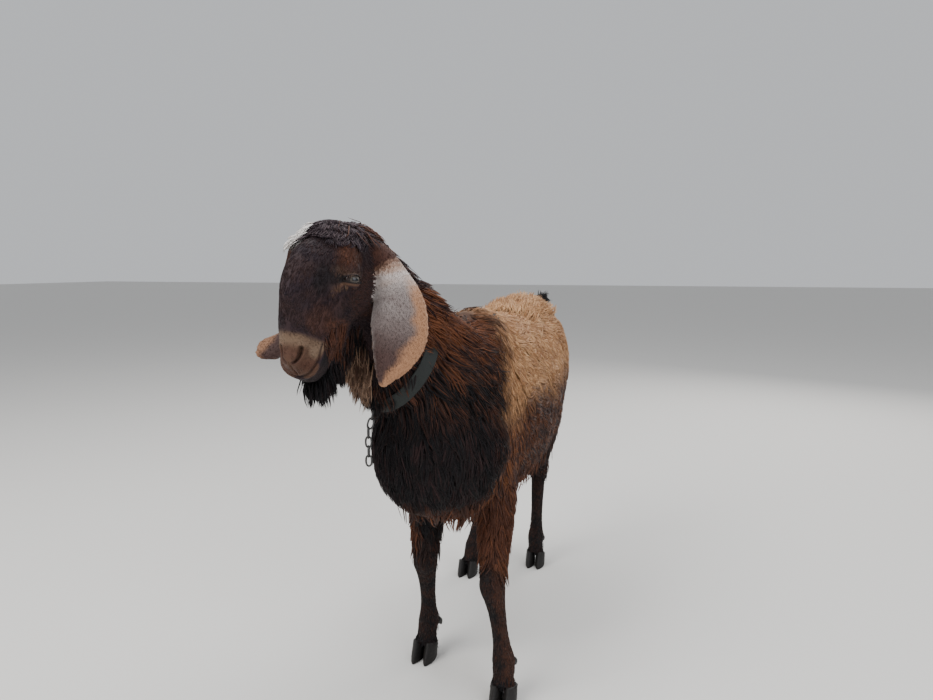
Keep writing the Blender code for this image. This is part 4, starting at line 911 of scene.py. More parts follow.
        # Legs
        fore = self.fore.astype(float)
        upper_leg = self.leg * (1 - self.low)
        first, second = mix(first, DEEP_RUST, upper_leg * fore), mix(second, RUST, upper_leg * fore)
        first = mix(first, BLACK, upper_leg * (1 - fore) * 0.6)
        second = mix(second, DEEP_RUST, upper_leg * (1 - fore))
        first, second = mix(first, BLACK, self.low), mix(second, DEEP_RUST, self.low)
        share = share + (0.30 + 0.20 * fine - 0.14 * self.low - share) * np.maximum(self.low, upper_leg)
        inner_right = upper_leg * fore * (x < -0.04) * step_up(self.n[:, 0], -0.5, 0.0)
        first, second = mix(first, BLACK, inner_right), mix(second, DEEP_RUST, inner_right * 0.9)
        share = share - 0.18 * inner_right
        outer_left = fore * self.low * (x > 0.0) * step_up(self.n[:, 0], 0.1, 0.6)
        share = share + 0.45 * outer_left
        back_of_leg = step_up(self.n[:, 1], 0.0, 0.7) * self.leg
        share = share + 0.25 * back_of_leg
        first, second = mix(first, BLACK, self.tail), mix(second, MAHOGANY, self.tail)
        first, second = mix(first, MAHOGANY, self.bag), mix(second, DEEP_RUST, self.bag)
        # Head: near black with a rust brow, pale round the eye and on the muzzle, white at one side of the poll
        # The face's near-black first colour carries a painted blue sheen
        face_first = np.tile(PLUM_WITH_PAINTED_SHEEN, (count, 1))
        face_second = np.tile(UMBER, (count, 1))
        face_share = 0.40 + 0.30 * fine
        brow = near_spot(h, (0.052, 0.062, 0.012), (0.022, 0.028, 0.024))
        cheek = near_spot(h, (0.056, 0.085, -0.062), (0.028, 0.050, 0.040))
        nose_side = near_spot(h, (0.036, 0.176, -0.004), (0.018, 0.034, 0.028))
        warm = np.maximum(np.maximum(brow * 0.7, cheek * 0.25), nose_side * 0.25)
        face_share = face_share + 0.40 * warm
        face_second = mix(face_second, RUST, warm * 0.7)
        face_first = mix(face_first, DEEP_RUST, warm * 0.6)
        # Painted shade in the hollow between the nose bridge and the eye
        hollow = near_spot(h, (0.034, 0.120, 0.026), (0.012, 0.030, 0.022))
        face_first, face_second = mix(face_first, BLACK, hollow * 0.7), mix(face_second, BLACK, hollow * 0.6)
        side_of = np.where(hx > 0, 1, -1)
        ring_round = np.zeros(count)
        for side in (1, -1):
            far, _, out_of, upward = lid_field(h, side)
            ring = (far < 0.034) * np.exp(-(((out_of - 1.75) / 0.42) ** 2))
            ring *= np.where(upward < 0, 0.85, 0.45)
            ring_round = np.where(side_of == side, ring, ring_round)
        face_first = mix(face_first, RUST, ring_round * 0.6)
        face_second = mix(face_second, PALE, ring_round * 0.9)
        lips = np.interp(hy, (0.19, 0.20, 0.22, 0.24, 0.262), (-0.055, -0.047, -0.042, -0.042, -0.060))
        reach = hy - 0.25 * (hz + 0.028) + 0.004 * fine
        muzzle = step_up(reach, 0.204, 0.215) * step_up(hz, lips - 0.002, lips + 0.001)
        face_first, face_second = mix(face_first, MUZZLE, muzzle), mix(face_second, PALE, muzzle)
        corner = near_spot(h, (0.035, 0.227, -0.029), (0.009, 0.014, 0.012))
        nose = step_up(reach, 0.222, 0.236) * muzzle * (1 - corner)
        face_first, face_second = mix(face_first, PINK, nose * 0.85), mix(face_second, MUZZLE, nose * 0.8)
        lower = step_up(hy, 0.17, 0.20) * (1 - step_up(hz, lips - 0.006, lips - 0.001))
        face_first, face_second = mix(face_first, BLACK, lower * 0.9), mix(face_second, MAHOGANY, lower)
        flap = near_spot(h, (0.040, 0.178, -0.058), (0.012, 0.034, 0.040))
        face_second = mix(face_second, RUST, flap * 0.45)
        face_share = face_share + 0.30 * flap
        poll = near_spot(h, (-0.040, 0.032, 0.032), (0.022, 0.028, 0.028))
        face_first, face_second = mix(face_first, WHITE, poll * 0.95), mix(face_second, WHITE, poll * 0.95)
        head = self.head[:, None]
        first = first * (1 - head) + face_first * head
        second = second * (1 - head) + face_second * head
        share = share * (1 - self.head) + face_share * self.head
        # Ears: brown root, a white band, mottled grey in front, tan behind and at the end, with a pale rim
        a, s = self.along, self.across
        ear_first = np.tile(EAR_TAN, (count, 1))
        ear_second = np.tile(EAR_TAN, (count, 1)) * 1.15
        edge = 0.70 - 0.22 * step_up(a, 0.35, 0.95) + 0.06 * coarse + 0.05 * fine
        mottle = (1 - step_up(s, edge - 0.10, edge + 0.10)) * step_up(a, 0.26, 0.36)
        mottle *= 1 - step_up(a, 0.93, 0.99)
        dark = step_up(a + 0.05 * fine, 0.38, 0.72)
        grey = np.outer(1 - dark, MOTTLE) + np.outer(dark, UMBER)
        pale = np.outer(1 - dark, EAR_WHITE) * 0.75 + np.outer(dark, MOTTLE)
        hold = mottle[:, None]
        ear_first = ear_first * (1 - hold) + grey * hold
        ear_second = ear_second * (1 - hold) + pale * hold
        band = np.exp(-(((a - 0.30 + 0.03 * fine) / 0.055) ** 2))
        ear_first, ear_second = mix(ear_first, EAR_WHITE, band * 0.8), mix(ear_second, EAR_WHITE, band)
        root = 1 - step_up(a + 0.02 * fine, 0.21, 0.27)
        ear_first, ear_second = mix(ear_first, MAHOGANY, root), mix(ear_second, DEEP_RUST, root)
        rim = np.maximum(step_up(s, 0.93, 0.98), 1 - step_up(s, 0.02, 0.06)) * step_up(a, 0.3, 0.4)
        ear_first = mix(ear_first, EAR_WHITE, rim * 0.45)
        inner = (1 - self.outer) * 0.85
        ear_first, ear_second = mix(ear_first, PINK, inner), mix(ear_second, EAR_TAN, inner)
        # The right ear's colours are darkened as painted shade
        right = 0.45 * (hx < 0)
        ear_first, ear_second = mix(ear_first, UMBER, right), mix(ear_second, UMBER, right)
        on = self.ear[:, None]
        first = first * (1 - on) + ear_first * on
        second = second * (1 - on) + ear_second * on
        share = share * (1 - self.ear) + (0.45 + 0.3 * fine) * self.ear
        return first, second, np.clip(share, 0, 1)


def uv_charts(places, coat):
    """An unwrap of the hide: one chart each for trunk, head, legs, tail and the ears' two faces."""
    hx = coat.h[:, 0]
    chart = np.zeros(len(places), int)
    chart[(coat.leg > 0.5)] = 2 + coat.leg_index[coat.leg > 0.5]
    chart[coat.head > 0.5] = 1
    chart[coat.tail > 0.5] = 6
    ears = coat.ear > 0.5
    chart[ears] = np.where(hx > 0, 7, 9)[ears] + coat.outer[ears].astype(int)
    return chart


def chart_place(places, chart, coat):
    """Along and around each chart, with the angle around it in turns."""
    x, y, z = places.T
    hx, hy, hz = coat.h.T
    along = (y + 0.60) / 1.15
    ahead = step_up(-y, 0.25, 0.5)
    around = np.arctan2(x + 0.05 * ahead, z - 0.60 - 0.25 * ahead) / math.tau
    head = chart == 1
    along[head] = (hy[head] + 0.06) / 0.34
    around[head] = np.arctan2(hx[head], hz[head] + 0.045) / math.tau
    for i, joints in enumerate(LEGS.values()):
        on = chart == 2 + i
        heights = (0.0, 0.082, 0.235, 0.42)
        middle = np.array([np.interp(z[on], heights, [j[k] for j in joints[::-1]]) for k in (0, 1)])
        along[on] = z[on] / 0.48
        around[on] = np.arctan2(x[on] - middle[0], y[on] - middle[1]) / math.tau
    tail = chart == 6
    along[tail] = (z[tail] - 0.76) / 0.13
    around[tail] = np.arctan2(x[tail] - 0.012, y[tail] - 0.45) / math.tau
    ears = chart >= 7
    along[ears] = coat.along[ears]
    around[ears] = coat.across[ears] - 0.5
    return along, around


# Each chart's low corner and size on the map
CHARTS = np.array(
    [
        (0.02, 0.02, 0.62, 0.56),
        (0.68, 0.02, 0.30, 0.42),
        (0.02, 0.64, 0.20, 0.15),
        (0.25, 0.64, 0.20, 0.15),
        (0.48, 0.64, 0.20, 0.15),
        (0.02, 0.83, 0.20, 0.15),
        (0.25, 0.83, 0.10, 0.13),
        (0.72, 0.48, 0.25, 0.11),
        (0.72, 0.61, 0.25, 0.11),
        (0.72, 0.74, 0.25, 0.11),
        (0.72, 0.87, 0.25, 0.11),
    ]
)


def on_map(along, around, chart):
    corner = CHARTS[chart]
    left, low, wide, high = corner.T
    return np.stack([left + along * wide, low + (around + 0.5) * high], axis=1)


def set_uv(mesh, uv):
    layer = mesh.uv_layers.new(name="OFBake")
    layer.uv.foreach_set("vector", np.ascontiguousarray(uv, dtype=np.float32).ravel())


def set_colours(mesh, name, rgb):
    layer = mesh.color_attributes.new(name=name, type="FLOAT_COLOR", domain="POINT")
    full = np.ones((len(rgb), 4), np.float32)
    full[:, :3] = rgb
    layer.data.foreach_set("color", full.ravel())


def shade_smooth(mesh):
    mesh.polygons.foreach_set("use_smooth", np.ones(len(mesh.polygons), bool))


# Tufts: how far along each ring lies and its share of the width. Long ones have three rings, short ones two
TUFT_KINDS = {
    "long": ((0.0, 0.42, 0.78), (0.75, 1.0, 0.62)),
    "short": ((0.0, 0.50), (0.80, 1.0)),
}
LONG_TUFTS = 54000
SHORT_TUFTS = 42000
PATCH = 0.003
TUFT_SINK = 0.0025
PIECE_TRIANGLES = 195000


def tuft_faces(rings):
    """Triangles of one tuft with that many rings of three points and a tip."""
    faces = [(2, 1, 0)]
    for k in range(0, 3 * (rings - 1), 3):
        for a in range(3):
            b = (a + 1) % 3
            faces += [(k + a, k + b, k + 3 + b), (k + a, k + 3 + b, k + 3 + a)]
    last = 3 * (rings - 1)
    return np.array(faces + [(last + a, last + (a + 1) % 3, last + 3) for a in range(3)])


def tuft_piece(name, points, rgb, uvs, faces, level, sidewise):
    """One mesh of many tufts, with their colours and their patches of the map."""
    count, each = points.shape[:2]
    tris = (faces[None] + (np.arange(count) * each)[:, None, None]).reshape(-1, 3)
    mesh = bpy.data.meshes.new(name)
    mesh.vertices.add(count * each)
    mesh.vertices.foreach_set("co", points.astype(np.float32).ravel())
    mesh.loops.add(tris.size)
    mesh.loops.foreach_set("vertex_index", tris.astype(np.int32).ravel())
    mesh.polygons.add(len(tris))
    mesh.polygons.foreach_set("loop_start", np.arange(0, tris.size, 3, dtype=np.int32))
    mesh.update(calc_edges=True)
    mesh.validate()
    set_colours(mesh, "Coat", rgb.reshape(-1, 3))
    local = np.stack([sidewise, level - 0.5], axis=1) * PATCH
    corner = uvs[:, None, :] + local[None]
    set_uv(mesh, corner.reshape(-1, 2)[tris.ravel()])
    shade_smooth(mesh)
    return link_object(name, mesh)


def grow(
    name, tree, roots, normals, lies, sizes, colours, uvs, seed, kind="long", clumping=0.75, hang=0.0, stiff=0.0
):
    """Tufts of hair as thin tapered solids that follow the skin.

    sizes holds length, width, thickness, lift and curl for each tuft. hang turns hair down on its way.
    Stiff hair keeps its own way instead of following the skin.
    """
    dice = np.random.default_rng(seed)
    count = len(roots)
    steps, widths = TUFT_KINDS[kind]
    length, width, thick, lift, curl = sizes.T
    down = np.array((0.0, 0.0, -1.0))
    bend = curl * (0.65 * waves(roots, 0.055, seed + 1) + 0.45 * waves(roots, 0.020, seed + 2))
    lies = unit(lies + 0.30 * dice.normal(size=(count, 3)) * (0.3 + curl[:, None]))
    lies = unit(lies - normals * (np.sum(lies * normals, axis=1) * (1 - stiff))[:, None])
    spine, ups = [roots - normals * TUFT_SINK], [normals]
    here, up, heading, done = roots, normals, lies, 0.0
    for k, step in enumerate((*steps[1:], 1.0)):
        turn = bend * (1.0, -1.5, 1.2)[k]
        across = np.cross(up, heading)
        heading = unit(heading * np.cos(turn)[:, None] + across * np.sin(turn)[:, None])
        here = here + heading * (length * (step - done))[:, None]
        done = step
        near, near_up = nearest(tree, here)
        held = near + near_up * (lift * (0.35 + 0.65 * step**1.5))[:, None]
        loose = here + up * (lift * step)[:, None]
        spine.append(held * (1 - stiff) + loose * stiff)
        ups.append(unit(near_up * (1 - stiff) + up * stiff))
        heading = unit(heading + down * hang)
        if stiff < 0.5:
            here, up = near, near_up
            heading = unit(heading - up * np.sum(heading * up, axis=1)[:, None])
    if clumping > 0:
        picked = dice.choice(count, max(count // 9, 2), replace=False)
        kd = KDTree(len(picked))
        for i, j in enumerate(picked):
            kd.insert(roots[j], i)
        kd.balance()
        lead = np.array([picked[kd.find(r)[1]] for r in roots])
        apart = roots - roots[lead]
        close = (np.linalg.norm(apart, axis=1) < length * 0.8)[:, None] * clumping
        pulls = ((0.30, 0.75), (0.70, 0.45), (1.0, 0.22))[3 - len(steps) :]
        for k, (pull, keep) in enumerate(pulls):
            goal = spine[k + 1][lead] + apart * keep
            spine[k + 1] = spine[k + 1] + (goal - spine[k + 1]) * (pull * close)
    rings = []
    for k, share in enumerate(widths):
        run = unit(spine[k + 1] - spine[max(k - 1, 0)])
        side = unit(np.cross(run, ups[k]))
        rise = np.cross(side, run)
        w = (width * share / 2)[:, None]
        rings += [spine[k] - side * w, spine[k] + side * w, spine[k] + rise * thick[:, None]]
    points = np.stack([*rings, spine[-1]], axis=1)
    level = np.repeat(steps, 3).tolist() + [1.0]
    level = np.array(level)
    sidewise = np.array([-0.5, 0.5, 0.1] * len(steps) + [0.0])
    vary = dice.uniform(0.88, 1.12, (count, 1, 1))
    # Each tuft is darker at its root and lighter at its tip: painted shade deep in the coat between the tufts
    rgb = colours[:, None, :] * (0.76 + 0.32 * level**0.7)[None, :, None] * vary
    faces = tuft_faces(len(steps))
    most = PIECE_TRIANGLES // len(faces)
    made = []
    for first in range(0, count, most):
        part = slice(first, min(first + most, count))
        label = f"{name}_{first // most + 1}"
        made.append(tuft_piece(label, points[part], rgb[part], uvs[part], faces, level, sidewise))
    return made


def scatter(mesh, coat, density, count, seed):
    """Spreads roots over the skin's triangles by density, and gives their corners and the corners' shares."""
    mesh.calc_loop_triangles()
    tris = np.empty(len(mesh.loop_triangles) * 3, np.int32)
    mesh.loop_triangles.foreach_get("vertices", tris)
    tris = tris.reshape(-1, 3)
    places = coat.p
    a, b, c = (places[tris[:, k]] for k in range(3))
    areas = np.linalg.norm(np.cross(b - a, c - a), axis=1) / 2
    weights = areas * density[tris].mean(axis=1)
    total = np.cumsum(weights)
    dice = np.random.default_rng(seed)
    spots = (np.arange(count) + dice.random(count)) / count * total[-1]
    chosen = np.minimum(np.searchsorted(total, spots), len(tris) - 1)
    u, v = dice.random(count), dice.random(count)
    over = u + v > 1
    u[over], v[over] = 1 - u[over], 1 - v[over]
    return tris[chosen], np.stack([1 - u - v, u, v], axis=1)


def pick(values, corners, shares):
    """A vertex value read at scattered roots."""
    got = values[corners]
    if got.ndim == 3:
        return (got * shares[:, :, None]).sum(axis=1)
    return (got * shares).sum(axis=1)


# The collar's plane, and how far it stands off the neck
COLLAR_CENTRE = Vector((-0.0815, -0.4224, 0.7343))
COLLAR_FACING = Vector((-0.41, -0.80, 0.44)).normalized()
STRAP_OFF = 0.0140
# How much deeper it lies in the coat of the nape
STRAP_SINK = 0.0105
STRAP_WIDTH = 0.028
STRAP_THICK = 0.0035
LINK_LENGTH = 0.025
LINK_WIDTH = 0.015
LINK_WIRE = 0.0021
LINK_STEP = 0.72
CHAIN_LINKS = 6
CHAIN_LEAN = Vector((-0.08, -0.50, -1.0)).normalized()
CHAIN_DROP = Vector((0.002, -0.008, -0.016))
CHAIN_TWIST = Vector((0.3, -1.0, 0.1))
CHAIN_TURN = 2


def collar_line(tree, off, count):
    """Points around the neck in the collar's plane, off its surface."""
    side = Vector((0, 0, 1)).cross(COLLAR_FACING).normalized()
    up = COLLAR_FACING.cross(side)
    found = []
    for i in range(count):
        angle = math.tau * i / count
        ray = side * math.cos(angle) + up * math.sin(angle)
        found.append((ray, tree.ray_cast(COLLAR_CENTRE, ray)[3] or 0.08))
    reach = np.array([d for _, d in found])
    for _ in range(6):
        reach = np.maximum(reach, (np.roll(reach, 1) + np.roll(reach, -1)) / 2)
    made = []
    for (ray, _), d in zip(found, reach):
        sunk = STRAP_SINK * step_up(ray.z, -0.35, 0.35)
        made.append(COLLAR_CENTRE + ray * (float(d) + off - float(sunk)))
    return made


def strap(name, tree):
    """The collar as a webbing band with rolled edges."""
    line = collar_line(tree, STRAP_OFF, 120)
    count = len(line)
    section = ((-1.0, 0.0), (-0.96, 0.8), (-0.85, 1.0), (0.0, 1.1), (0.85, 1.0), (0.96, 0.8), (1.0, 0.0))
    section += ((0.96, -0.8), (0.85, -1.0), (0.0, -0.9), (-0.85, -1.0), (-0.96, -0.8))
    verts, faces = [], []
    for i, here in enumerate(line):
        along = (line[(i + 1) % count] - line[i - 1]).normalized()
        _, normal, _, _ = tree.find_nearest(here)
        wide = along.cross(normal).normalized()
        normal = wide.cross(along).normalized()
        for a, b in section:
            verts.append(here + wide * (a * STRAP_WIDTH / 2) + normal * (b * STRAP_THICK / 2))
    sides = len(section)
    for i in range(count):
        for k in range(sides):
            here, there, after = i * sides, (i + 1) % count * sides, (k + 1) % sides
            faces.append((here + k, here + after, there + after, there + k))
    return facing_out(mesh_object(name, verts, faces))


def closed_tube(name, points, radius, sides):
    """A tube along a closed line, as a ring-shaped body."""
    count = len(points)
    middle = sum(points, Vector()) / count
    verts, faces = [], []
    for i, here in enumerate(points):
        along = (points[(i + 1) % count] - points[i - 1]).normalized()
        side = (here - middle).normalized()
        side = (side - along * side.dot(along)).normalized()
        verts += ring(here, side, along.cross(side), radius, radius, radius, 2.0, sides)
    for i in range(count):
        for k in range(sides):
            a, b = i * sides + k, i * sides + (k + 1) % sides
            c, d = (i + 1) % count * sides + (k + 1) % sides, (i + 1) % count * sides + k
            faces.append((a, b, c, d))
    return facing_out(mesh_object(name, verts, faces))


def chain(name, tree):
    """A short chain that hangs from the strap's lowest point, each link turned across the last."""
    made = []
    here = min(collar_line(tree, STRAP_OFF, 34), key=lambda place: place.z) + CHAIN_DROP
    for i in range(CHAIN_LINKS):
        heading = CHAIN_LEAN if i < CHAIN_TURN else Vector((0.0, 0.0, -1.0))
        across = heading.cross(CHAIN_TWIST).normalized()
        flat = across if i % 2 else heading.cross(across)
        points = []
        for k in range(20):
            angle = math.tau * k / 20
            c, s = math.cos(angle), math.sin(angle)
            long_way = math.copysign(abs(c) ** 0.8, c) * (LINK_LENGTH / 2 - LINK_WIRE)
            points.append(here + heading * long_way + flat * (s * (LINK_WIDTH / 2 - LINK_WIRE)))
        made.append(closed_tube("link", points, LINK_WIRE * 0.9, 10))
        here = here + heading * (LINK_LENGTH * LINK_STEP)
    return join(name, made)


# A claw from its sole up: height, shift forward, half length and half width
CLAW = (
    (0.000, 0.004, 0.0330, 0.0125),
    (0.004, 0.004, 0.0345, 0.0132),
    (0.016, 0.001, 0.0325, 0.0135),
    (0.030, -0.004, 0.0290, 0.0132),
    (0.050, -0.010, 0.0250, 0.0128),
)
CLAW_APART = 0.0142
# How flat a claw's inner wall is
CLAW_INNER = 0.96
CLAW_SIDES = 36


def claw(name, leg, side):
    """One half of a cloven hoof, with a flat sole on the floor and growth rings round its wall."""
    x, y, _ = LEGS[leg][3]
    rings = []
    for z, ahead, long_half, wide_half in smooth_row(CLAW, 26):
        grown = 0.0004 * math.sin(z * 900)
        points = []
        for i in range(CLAW_SIDES):
            angle = math.tau * i / CLAW_SIDES
            c, s = math.cos(angle), math.sin(angle)
            taper = 1 - 0.45 * max(-s, 0) ** 2
            wide = (wide_half + grown) * c * taper
            wide = wide if c * side > 0 else wide * CLAW_INNER
            place = Vector((x + side * CLAW_APART + wide, y - ahead + s * (long_half + grown), max(z, 0.0)))
            over = (place.z - CORONET_Z) + (place.y - y) * CORONET_SLOPE
            if over > 0:
                place.z -= over * 0.96
            points.append(place)
        rings.append(points)
    return loft(name, rings)


def dewclaws(name):
    """The small horny points at the back of each fetlock."""
    made = []
    for joints in LEGS.values():
        for side in (1, -1):
            root = Vector(joints[2]) + Vector((side * 0.013, 0.018, -0.006))
            tip = root + Vector((side * 0.004, 0.020, -0.020))
            middle = root.lerp(tip, 0.55) + Vector((0, 0.003, 0.001))
            rows = smooth_row([(*root, 0.0085), (*middle, 0.0072), (*tip, 0.0026)], 9)
            along = (tip - root).normalized()
            across = along.cross(Vector((1, 0, 0))).normalized()
            rings = [ring(Vector(r[:3]), Vector((1, 0, 0)), across, r[3], r[3], r[3], 2.0, 14) for r in rows]
            made.append(loft("dewclaw", rings))
    return join(name, made)


# Half length and half height of the level pupil
PUPIL = (0.0056, 0.0019)


def eyeball(name, side):
    """An eye with a bulging cornea. Its Z axis is where it looks, its X axis runs along the lids."""
    shape = bmesh.new()
    bmesh.ops.create_uvsphere(shape, u_segments=64, v_segments=64, radius=EYE_RADIUS)
    for v in shape.verts:
        flat = math.hypot(v.co.x, v.co.y)
        if v.co.z > 0 and flat < 0.0105:
            v.co.z += 0.0012 * (1 - (flat / 0.0105) ** 2) ** 1.5
    out = (EYE_OUT * Vector((side, 1, 1))).normalized()
    up = EYE_UP * Vector((side, 1, 1))
    up = (up - out * out.dot(up)).normalized()
    frame_of = Matrix((up.cross(out), up, out)).transposed().to_4x4()
    mesh = bpy.data.meshes.new(name)
    shape.to_mesh(mesh)
    shape.free()
    places = positions(mesh)
    x, y, z = places.T
    flat = np.hypot(x, y)
    turn = np.arctan2(y, x)
    front = z > 0
    streak = 0.5 + 0.5 * np.sin(turn * 31 + 3 * np.sin(turn * 7))
    iris = np.tile((0.030, 0.024, 0.020), (len(x), 1))
    iris = mix(iris, (0.085, 0.070, 0.055), streak * step_up(flat, 0.003, 0.008))
    iris = mix(iris, (0.014, 0.010, 0.009), step_up(flat, 0.0078, 0.0094))
    pupil = 1 - step_up(np.maximum(np.abs(x) / PUPIL[0], np.abs(y) / PUPIL[1]), 0.92, 1.08)
    iris = mix(iris, (0.004, 0.005, 0.008), pupil)
    white = np.tile((0.022, 0.014, 0.012), (len(x), 1))
    colour = np.where((front & (flat < 0.0104))[:, None], iris, white)
    set_colours(mesh, "Iris", colour)
    shade_smooth(mesh)
    mesh.transform(HEAD @ Matrix.Translation(EYE_PLACE * Vector((side, 1, 1))) @ frame_of)
    return facing_out(link_object(name, mesh))


def node(tree, kind, **values):
    made = tree.nodes.new(kind)
    for name, value in values.items():
        setattr(made, name, value)
    return made


def new_material(name, roughness, metallic=0.0, colour=None, coat=0.0, sheen=0.0, specular=0.5):
    made = bpy.data.materials.new(name)
    made.use_nodes = True
    shader = made.node_tree.nodes["Principled BSDF"]
    shader.inputs["Roughness"].default_value = roughness
    shader.inputs["Metallic"].default_value = metallic
    shader.inputs["Coat Weight"].default_value = coat
    shader.inputs["Sheen Weight"].default_value = sheen
    shader.inputs["Specular IOR Level"].default_value = specular
    if colour:
        shader.inputs["Base Color"].default_value = (*colour, 1.0)
    return made, made.node_tree, shader


def attribute_colour(tree, name):
    return node(tree, "ShaderNodeVertexColor", layer_name=name).outputs["Color"]


def noise_group():
    """A colour made patchy, and the height of its grain."""
    group = bpy.data.node_groups.new("Grain", "ShaderNodeTree")
    for name, kind, way in (
        ("Color", "NodeSocketColor", "INPUT"),
        ("Scale", "NodeSocketFloat", "INPUT"),
        ("Amount", "NodeSocketFloat", "INPUT"),
        ("Bump", "NodeSocketFloat", "INPUT"),
        ("Color", "NodeSocketColor", "OUTPUT"),
        ("Normal", "NodeSocketVector", "OUTPUT"),
    ):
        group.interface.new_socket(name=name, in_out=way, socket_type=kind)
    come, go = node(group, "NodeGroupInput"), node(group, "NodeGroupOutput")
    place = node(group, "ShaderNodeTexCoord").outputs["Object"]
    grain = node(group, "ShaderNodeTexNoise")
    grain.inputs["Detail"].default_value = 4.0
    group.links.new(place, grain.inputs["Vector"])
    group.links.new(come.outputs["Scale"], grain.inputs["Scale"])
    level = node(group, "ShaderNodeMapRange")
    level.inputs["From Min"].default_value = 0.3
    level.inputs["From Max"].default_value = 0.7
    level.inputs["To Min"].default_value = 0.62
    level.inputs["To Max"].default_value = 1.38
    group.links.new(grain.outputs["Fac"], level.inputs["Value"])
    scaled = node(group, "ShaderNodeMix", data_type="RGBA", blend_type="MULTIPLY")
    group.links.new(come.outputs["Amount"], scaled.inputs[0])
    group.links.new(come.outputs["Color"], scaled.inputs[6])
    group.links.new(level.outputs["Result"], scaled.inputs[7])
    bump = node(group, "ShaderNodeBump")
    bump.inputs["Distance"].default_value = 0.001
    group.links.new(come.outputs["Bump"], bump.inputs["Strength"])
    group.links.new(grain.outputs["Fac"], bump.inputs["Height"])
    group.links.new(scaled.outputs[2], go.inputs["Color"])
    group.links.new(bump.outputs["Normal"], go.inputs["Normal"])
    return group


GRAIN = noise_group()


def grained(tree, shader, colour, scale, amount, bump):
    """Feeds a shader's colour and normal through the grain. colour is a socket or three numbers."""
    used = node(tree, "ShaderNodeGroup", node_tree=GRAIN)
    used.inputs["Scale"].default_value = scale
    used.inputs["Amount"].default_value = amount
    used.inputs["Bump"].default_value = bump
    if isinstance(colour, tuple):
        used.inputs["Color"].default_value = (*colour, 1.0)
    else:
        tree.links.new(colour, used.inputs["Color"])
    tree.links.new(used.outputs["Color"], shader.inputs["Base Color"])
    tree.links.new(used.outputs["Normal"], shader.inputs["Normal"])


def hair_material():
    made, tree, shader = new_material("hair", 0.62, specular=0.12, sheen=0.03)
    grained(tree, shader, attribute_colour(tree, "Coat"), 420.0, 0.55, 0.25)
    return made


def hide_material():
    made, tree, shader = new_material("hide", 0.64, specular=0.14, sheen=0.03)
    grained(tree, shader, attribute_colour(tree, "Coat"), 700.0, 0.6, 0.55)
    return made


def eye_material():
    made, tree, shader = new_material("eye", 0.12, coat=0.20, specular=0.28)
    shader.inputs["Coat Roughness"].default_value = 0.05
    tree.links.new(attribute_colour(tree, "Iris"), shader.inputs["Base Color"])
    return made


def horn_material():
    made, tree, shader = new_material("horn", 0.62, specular=0.3)
    grained(tree, shader, (0.0085, 0.0070, 0.0065), 160.0, 0.8, 0.5)
    return made


def strap_material():
    made, tree, shader = new_material("webbing", 0.72)
    grained(tree, shader, (0.006, 0.009, 0.008), 900.0, 0.9, 0.9)
    return made


def steel_material():
    made, tree, shader = new_material("steel", 0.45, metallic=1.0)
    grained(tree, shader, (0.075, 0.073, 0.072), 300.0, 0.6, 0.3)
    return made


def skin_colours(coat):
    first, second, share = coat.colours()
    colour = first * (1 - share[:, None]) + second * share[:, None]
    return colour


def finish_skin(skin, coat):
    """Colours and the map of the hide."""
    mesh = skin.data
    colour = skin_colours(coat)
    # Painted shade under the coat: the hide is darker where hair covers it, and keeps its full colour on the front of
    # the face and on the ears
    shade_under_coat = 0.60 + 0.40 * np.maximum(coat.head * step_up(coat.h[:, 1], 0.06, 0.15), coat.ear)
    # Bare, darker lid rims and nostrils
    for side in (1, -1):
        far, _, out_of, _ = lid_field(coat.h, side)
        rim = (far < 0.03) * (1 - step_up(out_of, 1.15, 1.45))
        colour = mix(colour, (0.012, 0.009, 0.009), rim)
        gap, _ = distance_to_line(coat.h, NOSTRIL_LINES[side < 0])
        colour = mix(colour, (0.045, 0.022, 0.018), (1 - step_up(gap, 0.002, 0.0045)) * 0.9)
    gap, _ = distance_to_line(coat.h, MOUTH_LINE)
    colour = mix(colour, (0.020, 0.011, 0.010), (1 - step_up(gap, 0.0012, 0.0030)) * 0.9)
    set_colours(mesh, "Coat", colour * shade_under_coat[:, None])
    chart = uv_charts(coat.p, coat)
    corners = np.empty(len(mesh.loops), np.int32)
    mesh.loops.foreach_get("vertex_index", corners)
    starts = np.empty(len(mesh.polygons), np.int32)
    mesh.polygons.foreach_get("loop_start", starts)
    totals = np.empty(len(mesh.polygons), np.int32)
    mesh.polygons.foreach_get("loop_total", totals)
    lead = np.repeat(corners[starts], totals)
    face_chart = chart[lead]
    along, around = np.zeros(len(corners)), np.zeros(len(corners))
    for number in range(len(CHARTS)):
        used = face_chart == number
        if used.any():
            a, r = chart_place(coat.p, np.full(len(coat.p), number), coat)
            along[used] = a[corners[used]]
            lead_around = r[lead[used]]
            here = r[corners[used]]
            if number < 7:
                here = lead_around + (here - lead_around + 0.5) % 1.0 - 0.5
            around[used] = here
    set_uv(mesh, on_map(along, around, face_chart))
    shade_smooth(mesh)


def under_strap(places):
    """1 on the hide under the strap, where it shows on the throat's side, and 0 away from it."""
    centre, facing = np.array(COLLAR_CENTRE), np.array(COLLAR_FACING)
    off = (places - centre) @ facing
    near = np.linalg.norm(places - centre, axis=1) < 0.20
    return near * (1 - step_up(np.abs(off), 0.012, 0.020)) * (1 - step_up(places[:, 2], 0.755, 0.785))


# Hair of each region: density, length, width, thickness, lift and curl
HAIR = {
    "trunk": (1.0, 0.046, 0.0032, 0.0009, 0.0085, 0.75),
    "neck": (1.3, 0.062, 0.0030, 0.0009, 0.0125, 0.45),
    "upper_leg": (1.7, 0.042, 0.0028, 0.0008, 0.0090, 0.40),
    "bag": (1.2, 0.014, 0.0024, 0.0006, 0.0018, 0.2),
}
SHORT_HAIR = {
    "low_leg": (1.0, 0.014, 0.0017, 0.0004, 0.0013, 0.25),
    "head": (1.1, 0.014, 0.0013, 0.0003, 0.0009, 0.30),
    "muzzle": (0.8, 0.006, 0.0009, 0.0002, 0.0005, 0.20),
    "ear": (1.0, 0.007, 0.0009, 0.0002, 0.0004, 0.15),
}


